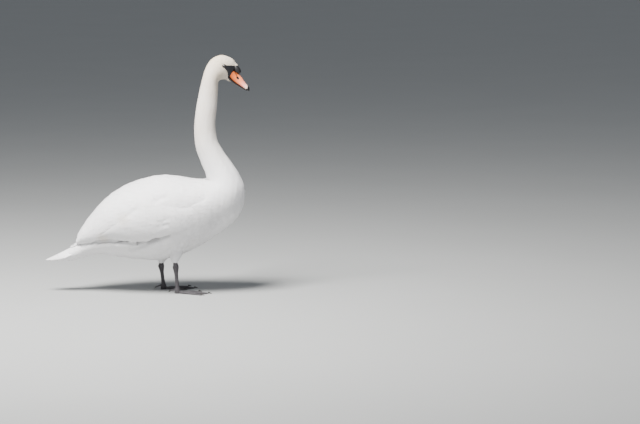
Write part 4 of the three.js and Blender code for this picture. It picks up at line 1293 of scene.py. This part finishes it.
for side, name in SIDES:
    for part, label, droop in ((SCAPULARS, "scapulars", 0.22), (COVERTS, "coverts", 0.06)):
        surface = wing_surface(part, side)
        roots = in_rows(surface, WING_ROWS)
        s, t = roots.T
        count = len(roots)
        left = np.linalg.norm(surface(np.full(count, 1.0), t) - surface(s, t), axis=-1)
        length = np.interp(s, WING_ROWS[:, 0], WING_ROWS[:, 2]) * MM
        length = np.minimum(length, left + (8 - 34 * np.abs(t - 0.8)) * MM)
        length *= random.uniform(0.92, 1.06, count)
        width = np.interp(s, WING_ROWS[:, 0], WING_ROWS[:, 3]) * MM * random.uniform(0.92, 1.08, count)
        turn = -side * (0.03 + droop * step_up(t, 0.6, 1)) + random.normal(0, 0.03, count)
        lift = random.uniform(-0.5, 0.2, count) * MM
        points = vane_points(surface, roots, length, width, WING_SKIN_DEPTH + IN_SKIN, turn, lift, BROAD)
        mesh = vane_mesh("wing", points, roots)
        add_piece(f"swan_{label}_{name}", mesh, plumage, "body_plumage")

# ---------------------------------------------------------------------------- flight feathers
# The long stiff feathers of wing tips and tail: a pale shaft with a closed vane to each side. Folded, they
# lie on one another like the leaves of a fan.
PRIMARIES = {"path": np.array([(-150, 84, 256), (-210, 62, 231), (-270, 36, 208), (-319, 17, 186)]) * MM,
             "half": 13 * MM, "spread": 7 * MM, "bank": radians(22), "count": 5}
# Shares of the path: the first primary runs from 0 to the first of these, and each of the others starts and
# ends further on, up to these moves for the last.
FIRST_TIP, TIPS_MOVE, ROOTS_MOVE = 0.7, 0.3, 0.25
# Heights in millimetres: how far the first primary lies over the path, each of the next under the one before
# it, and each one's sides under its shaft.
STACK_TOP, STACK_STEP, BOWED = 3, 1.2, 1.5
TAIL_LINE = np.array([(-290, 196), (-340, 167), (-422, 130)]) * MM
TAIL = {"half": 42 * MM, "droop": 24 * MM, "thick": 8 * MM, "count": 12}
TAIL_SHORT, TAIL_STAGGER = 0.985, 0.015  # every second feather of the tail is this share as long
VANE_THICK = 0.7 * MM


def feather_outline(w, u):
    """Half width of a long feather along it, and how far its rounded tip falls back towards its edges. It
    widens as a root over the first quarter, narrows evenly by a quarter, and closes as sqrt(1 - w^7)."""
    half = mix(np.sqrt(np.minimum(w / 0.25, 1)), 0.2, 1) * (1 - 0.25 * w) * np.sqrt(1 - 0.93 * w**7)
    return half, -0.035 * u**2 * w


def flight_mesh(name, tops):
    """One mesh of closed feathers from the grids of their upper sides, (feathers, rows, columns, 3): thickest
    at the shaft, and unrolled in OFBake side by side."""
    count, rows, columns = tops.shape[:3]
    along, aside = np.gradient(tops, axis=1), np.gradient(tops, axis=2)
    down = -unit(np.cross(along, aside))
    w, u = grid(np.linspace(0, 1, rows), np.linspace(-1, 1, columns))
    tops = tops - down * (0.3 * VANE_THICK * np.exp(-(u / 0.08) ** 2))[..., None]
    under = tops + down * (VANE_THICK * (0.45 + 0.55 * (1 - np.abs(u))))[..., None]
    points = np.stack([tops, under], axis=1)
    first = np.arange(count)[:, None, None] * 2 * rows * columns
    quads = (plate_quads(rows, columns)[None] + first).reshape(-1, 4)
    mesh = faced_outwards(new_mesh(name, points, quads))
    own = random.random(count)[:, None, None, None]
    u, w, own, layer = np.broadcast_arrays(u, w, own, np.arange(2)[None, :, None, None])
    vane = np.stack([u, w, own], axis=-1)
    strip = (np.arange(count)[:, None, None, None] + 0.5 * layer + 0.23 * (u + 1)) / count
    corners = np.empty(len(mesh.loops), np.int32)
    mesh.loops.foreach_get("vertex_index", corners)
    unrolled = np.stack([0.01 + 0.98 * strip, 0.02 + 0.96 * w], axis=-1).reshape(-1, 2)[corners]
    return lay_out(mesh, vane, unrolled)


flight_paint, shader, place = new_material("flight_feathers", Roughness=0.5, Sheen_Weight=0.15)
u, w, own = place.stored("vane", 1).axes()
shaft = 1 - abs(u).rise(0.02, 0.07)
barbs = (w * 520 + abs(u) * 60).sine() * 0.5 + 0.5
darker = shaft * 0.35 + own * 0.06 + barbs * 0.05
feed(shader, "Base Color", darker.tint(plumage_colour(place), (0.62, 0.58, 0.5, 1)))
feed(shader, "Roughness", barbs * 0.08 + 0.45)
bumpy(shader, barbs * (1 - shaft) * 0.4 + shaft, 0.4, 0.3 * MM)

w, u = grid(np.linspace(0, 1, 40), np.linspace(-1, 1, 17))
half, fall = feather_outline(w, u)
for side, name in SIDES:
    path = PRIMARIES["path"] * (1, side, 1)
    across = np.array([0, side * cos(PRIMARIES["bank"]), -sin(PRIMARIES["bank"])])
    tops = []
    for leaf in range(PRIMARIES["count"]):
        share = leaf / (PRIMARIES["count"] - 1)
        begin, end = ROOTS_MOVE * share, FIRST_TIP + TIPS_MOVE * share
        t = mix(w + fall, begin, end) * (len(path) - 1)
        middle, ahead = curve_through(path, t), curve_through(path, t + 0.05)
        up = unit(np.cross(ahead - middle, across))
        up *= np.sign(up[..., 2:])
        aside = (0.5 - share) * 2 * PRIMARIES["spread"] * (1 - 0.6 * w) + PRIMARIES["half"] * half * u
        raised = (STACK_TOP - STACK_STEP * leaf) * MM - BOWED * MM * u**2
        tops.append(middle + aside[..., None] * across + raised[..., None] * up)
    add_piece(f"swan_primaries_{name}", flight_mesh("primaries", np.array(tops)), flight_paint,
              "flight_feathers", f"wing_{name}_primaries")


def tail_surface(s, t, depth=0.0):
    """The closed tail: s runs to its tip along a quadratic curve, t from edge to edge, and it droops and
    shortens as the square of the distance from its middle."""
    across = 2 * t - 1
    reach = (s * np.sqrt(np.maximum(1 - 0.5 * across**2, 0)))[..., None]
    ridge = (1 - reach) ** 2 * TAIL_LINE[0] + 2 * reach * (1 - reach) * TAIL_LINE[1] + reach**2 * TAIL_LINE[2]
    half = TAIL["half"] * np.sqrt(np.maximum(0.3 + 1.15 * s - 1.2 * s**3, 0.05))
    drop = TAIL["droop"] * across**2 * (1 - 0.25 * s)
    return np.stack([ridge[..., 0], across * half, ridge[..., 1] - drop - depth], axis=-1)


tops = []
for leaf in range(TAIL["count"]):
    t = (leaf + 0.5) / TAIL["count"]
    from_middle = abs(2 * t - 1)
    tilt = np.sign(2 * t - 1) * u
    # a share of the tail's width, more in the middle, and a depth that grows outwards
    spread = mix(w, 0.75, 1) * half * (0.105 + 0.02 * (1 - from_middle)) * u
    depth = (0.4 + 2.2 * from_middle + 0.6 * tilt) * MM
    tops.append(tail_surface((w + fall) * (TAIL_SHORT + TAIL_STAGGER * (leaf % 2)), t + spread, depth))
add_piece("swan_tail", flight_mesh("tail", np.array(tops)), flight_paint, "flight_feathers", "tail")


def under_tail(s, t, depth=0.0):
    """The underside of the tail's coverts, which thins out towards the tip."""
    return tail_surface(s, t, TAIL["thick"] * (1 - 0.75 * s) * (1 - 0.5 * (2 * t - 1) ** 2) - depth)


for surface, label, reach in ((tail_surface, "upper", 0.42), (under_tail, "under", 0.6)):
    s, t = grid(np.linspace(-0.1, reach, 11), np.linspace(0.03, 0.97, 15))
    t = t + 0.017 * (np.arange(11) % 2 * 2 - 1)[:, None]
    roots = np.stack([s.ravel(), t.ravel()], axis=-1) + random.normal(0, 0.006, (s.size, 2))
    count = len(roots)
    length, width = random.uniform(34, 44, count) * MM, random.uniform(13, 17, count) * MM
    turn = random.normal(0, 0.05, count)
    points = vane_points(surface, roots, length, width, -0.4 * MM, turn, 0.5 * MM, BROAD)
    mesh = vane_mesh("tail_coverts", points, roots)
    add_piece(f"swan_tail_coverts_{label}", mesh, plumage, "body_plumage")

# ---------------------------------------------------------------------------- thighs
# Short soft feathers cover the thighs, smaller from row to row downwards. They end in a ring just above the
# hock, where the bare scaly skin begins.


def thigh_size(a, top, less):
    """A size of the feathers in millimetres at the top, and how much less it is at each row further down."""
    return (top - less * a) * MM


for side, name in SIDES:
    surface = thigh_surface(side)
    roots = scattered(surface, (0.5, 3.85), (0, 2 * np.pi), lambda a, b: thigh_size(a, 4.2, 0.5),
                      lambda a, b, points: np.ones(a.shape))
    a, b = roots.T
    count = len(roots)
    left = np.linalg.norm(surface(np.full(count, 4.0), b) - surface(a, b), axis=-1)
    length = thigh_size(a, 26, 3) * random.uniform(0.8, 1.15, count)
    length = np.minimum(length, left + random.uniform(1, 5, count) * MM)
    turn, lift = random.normal(0, 0.16, count), random.uniform(-0.8, 1, count) * MM
    width = thigh_size(a, 9, 1.6)
    points = vane_points(surface, roots, length, width, THIGH_COAT + IN_SKIN, turn, lift, PLUSH)
    add_piece(f"swan_thigh_{name}", vane_mesh("thigh", points, roots), plumage, "body_plumage")
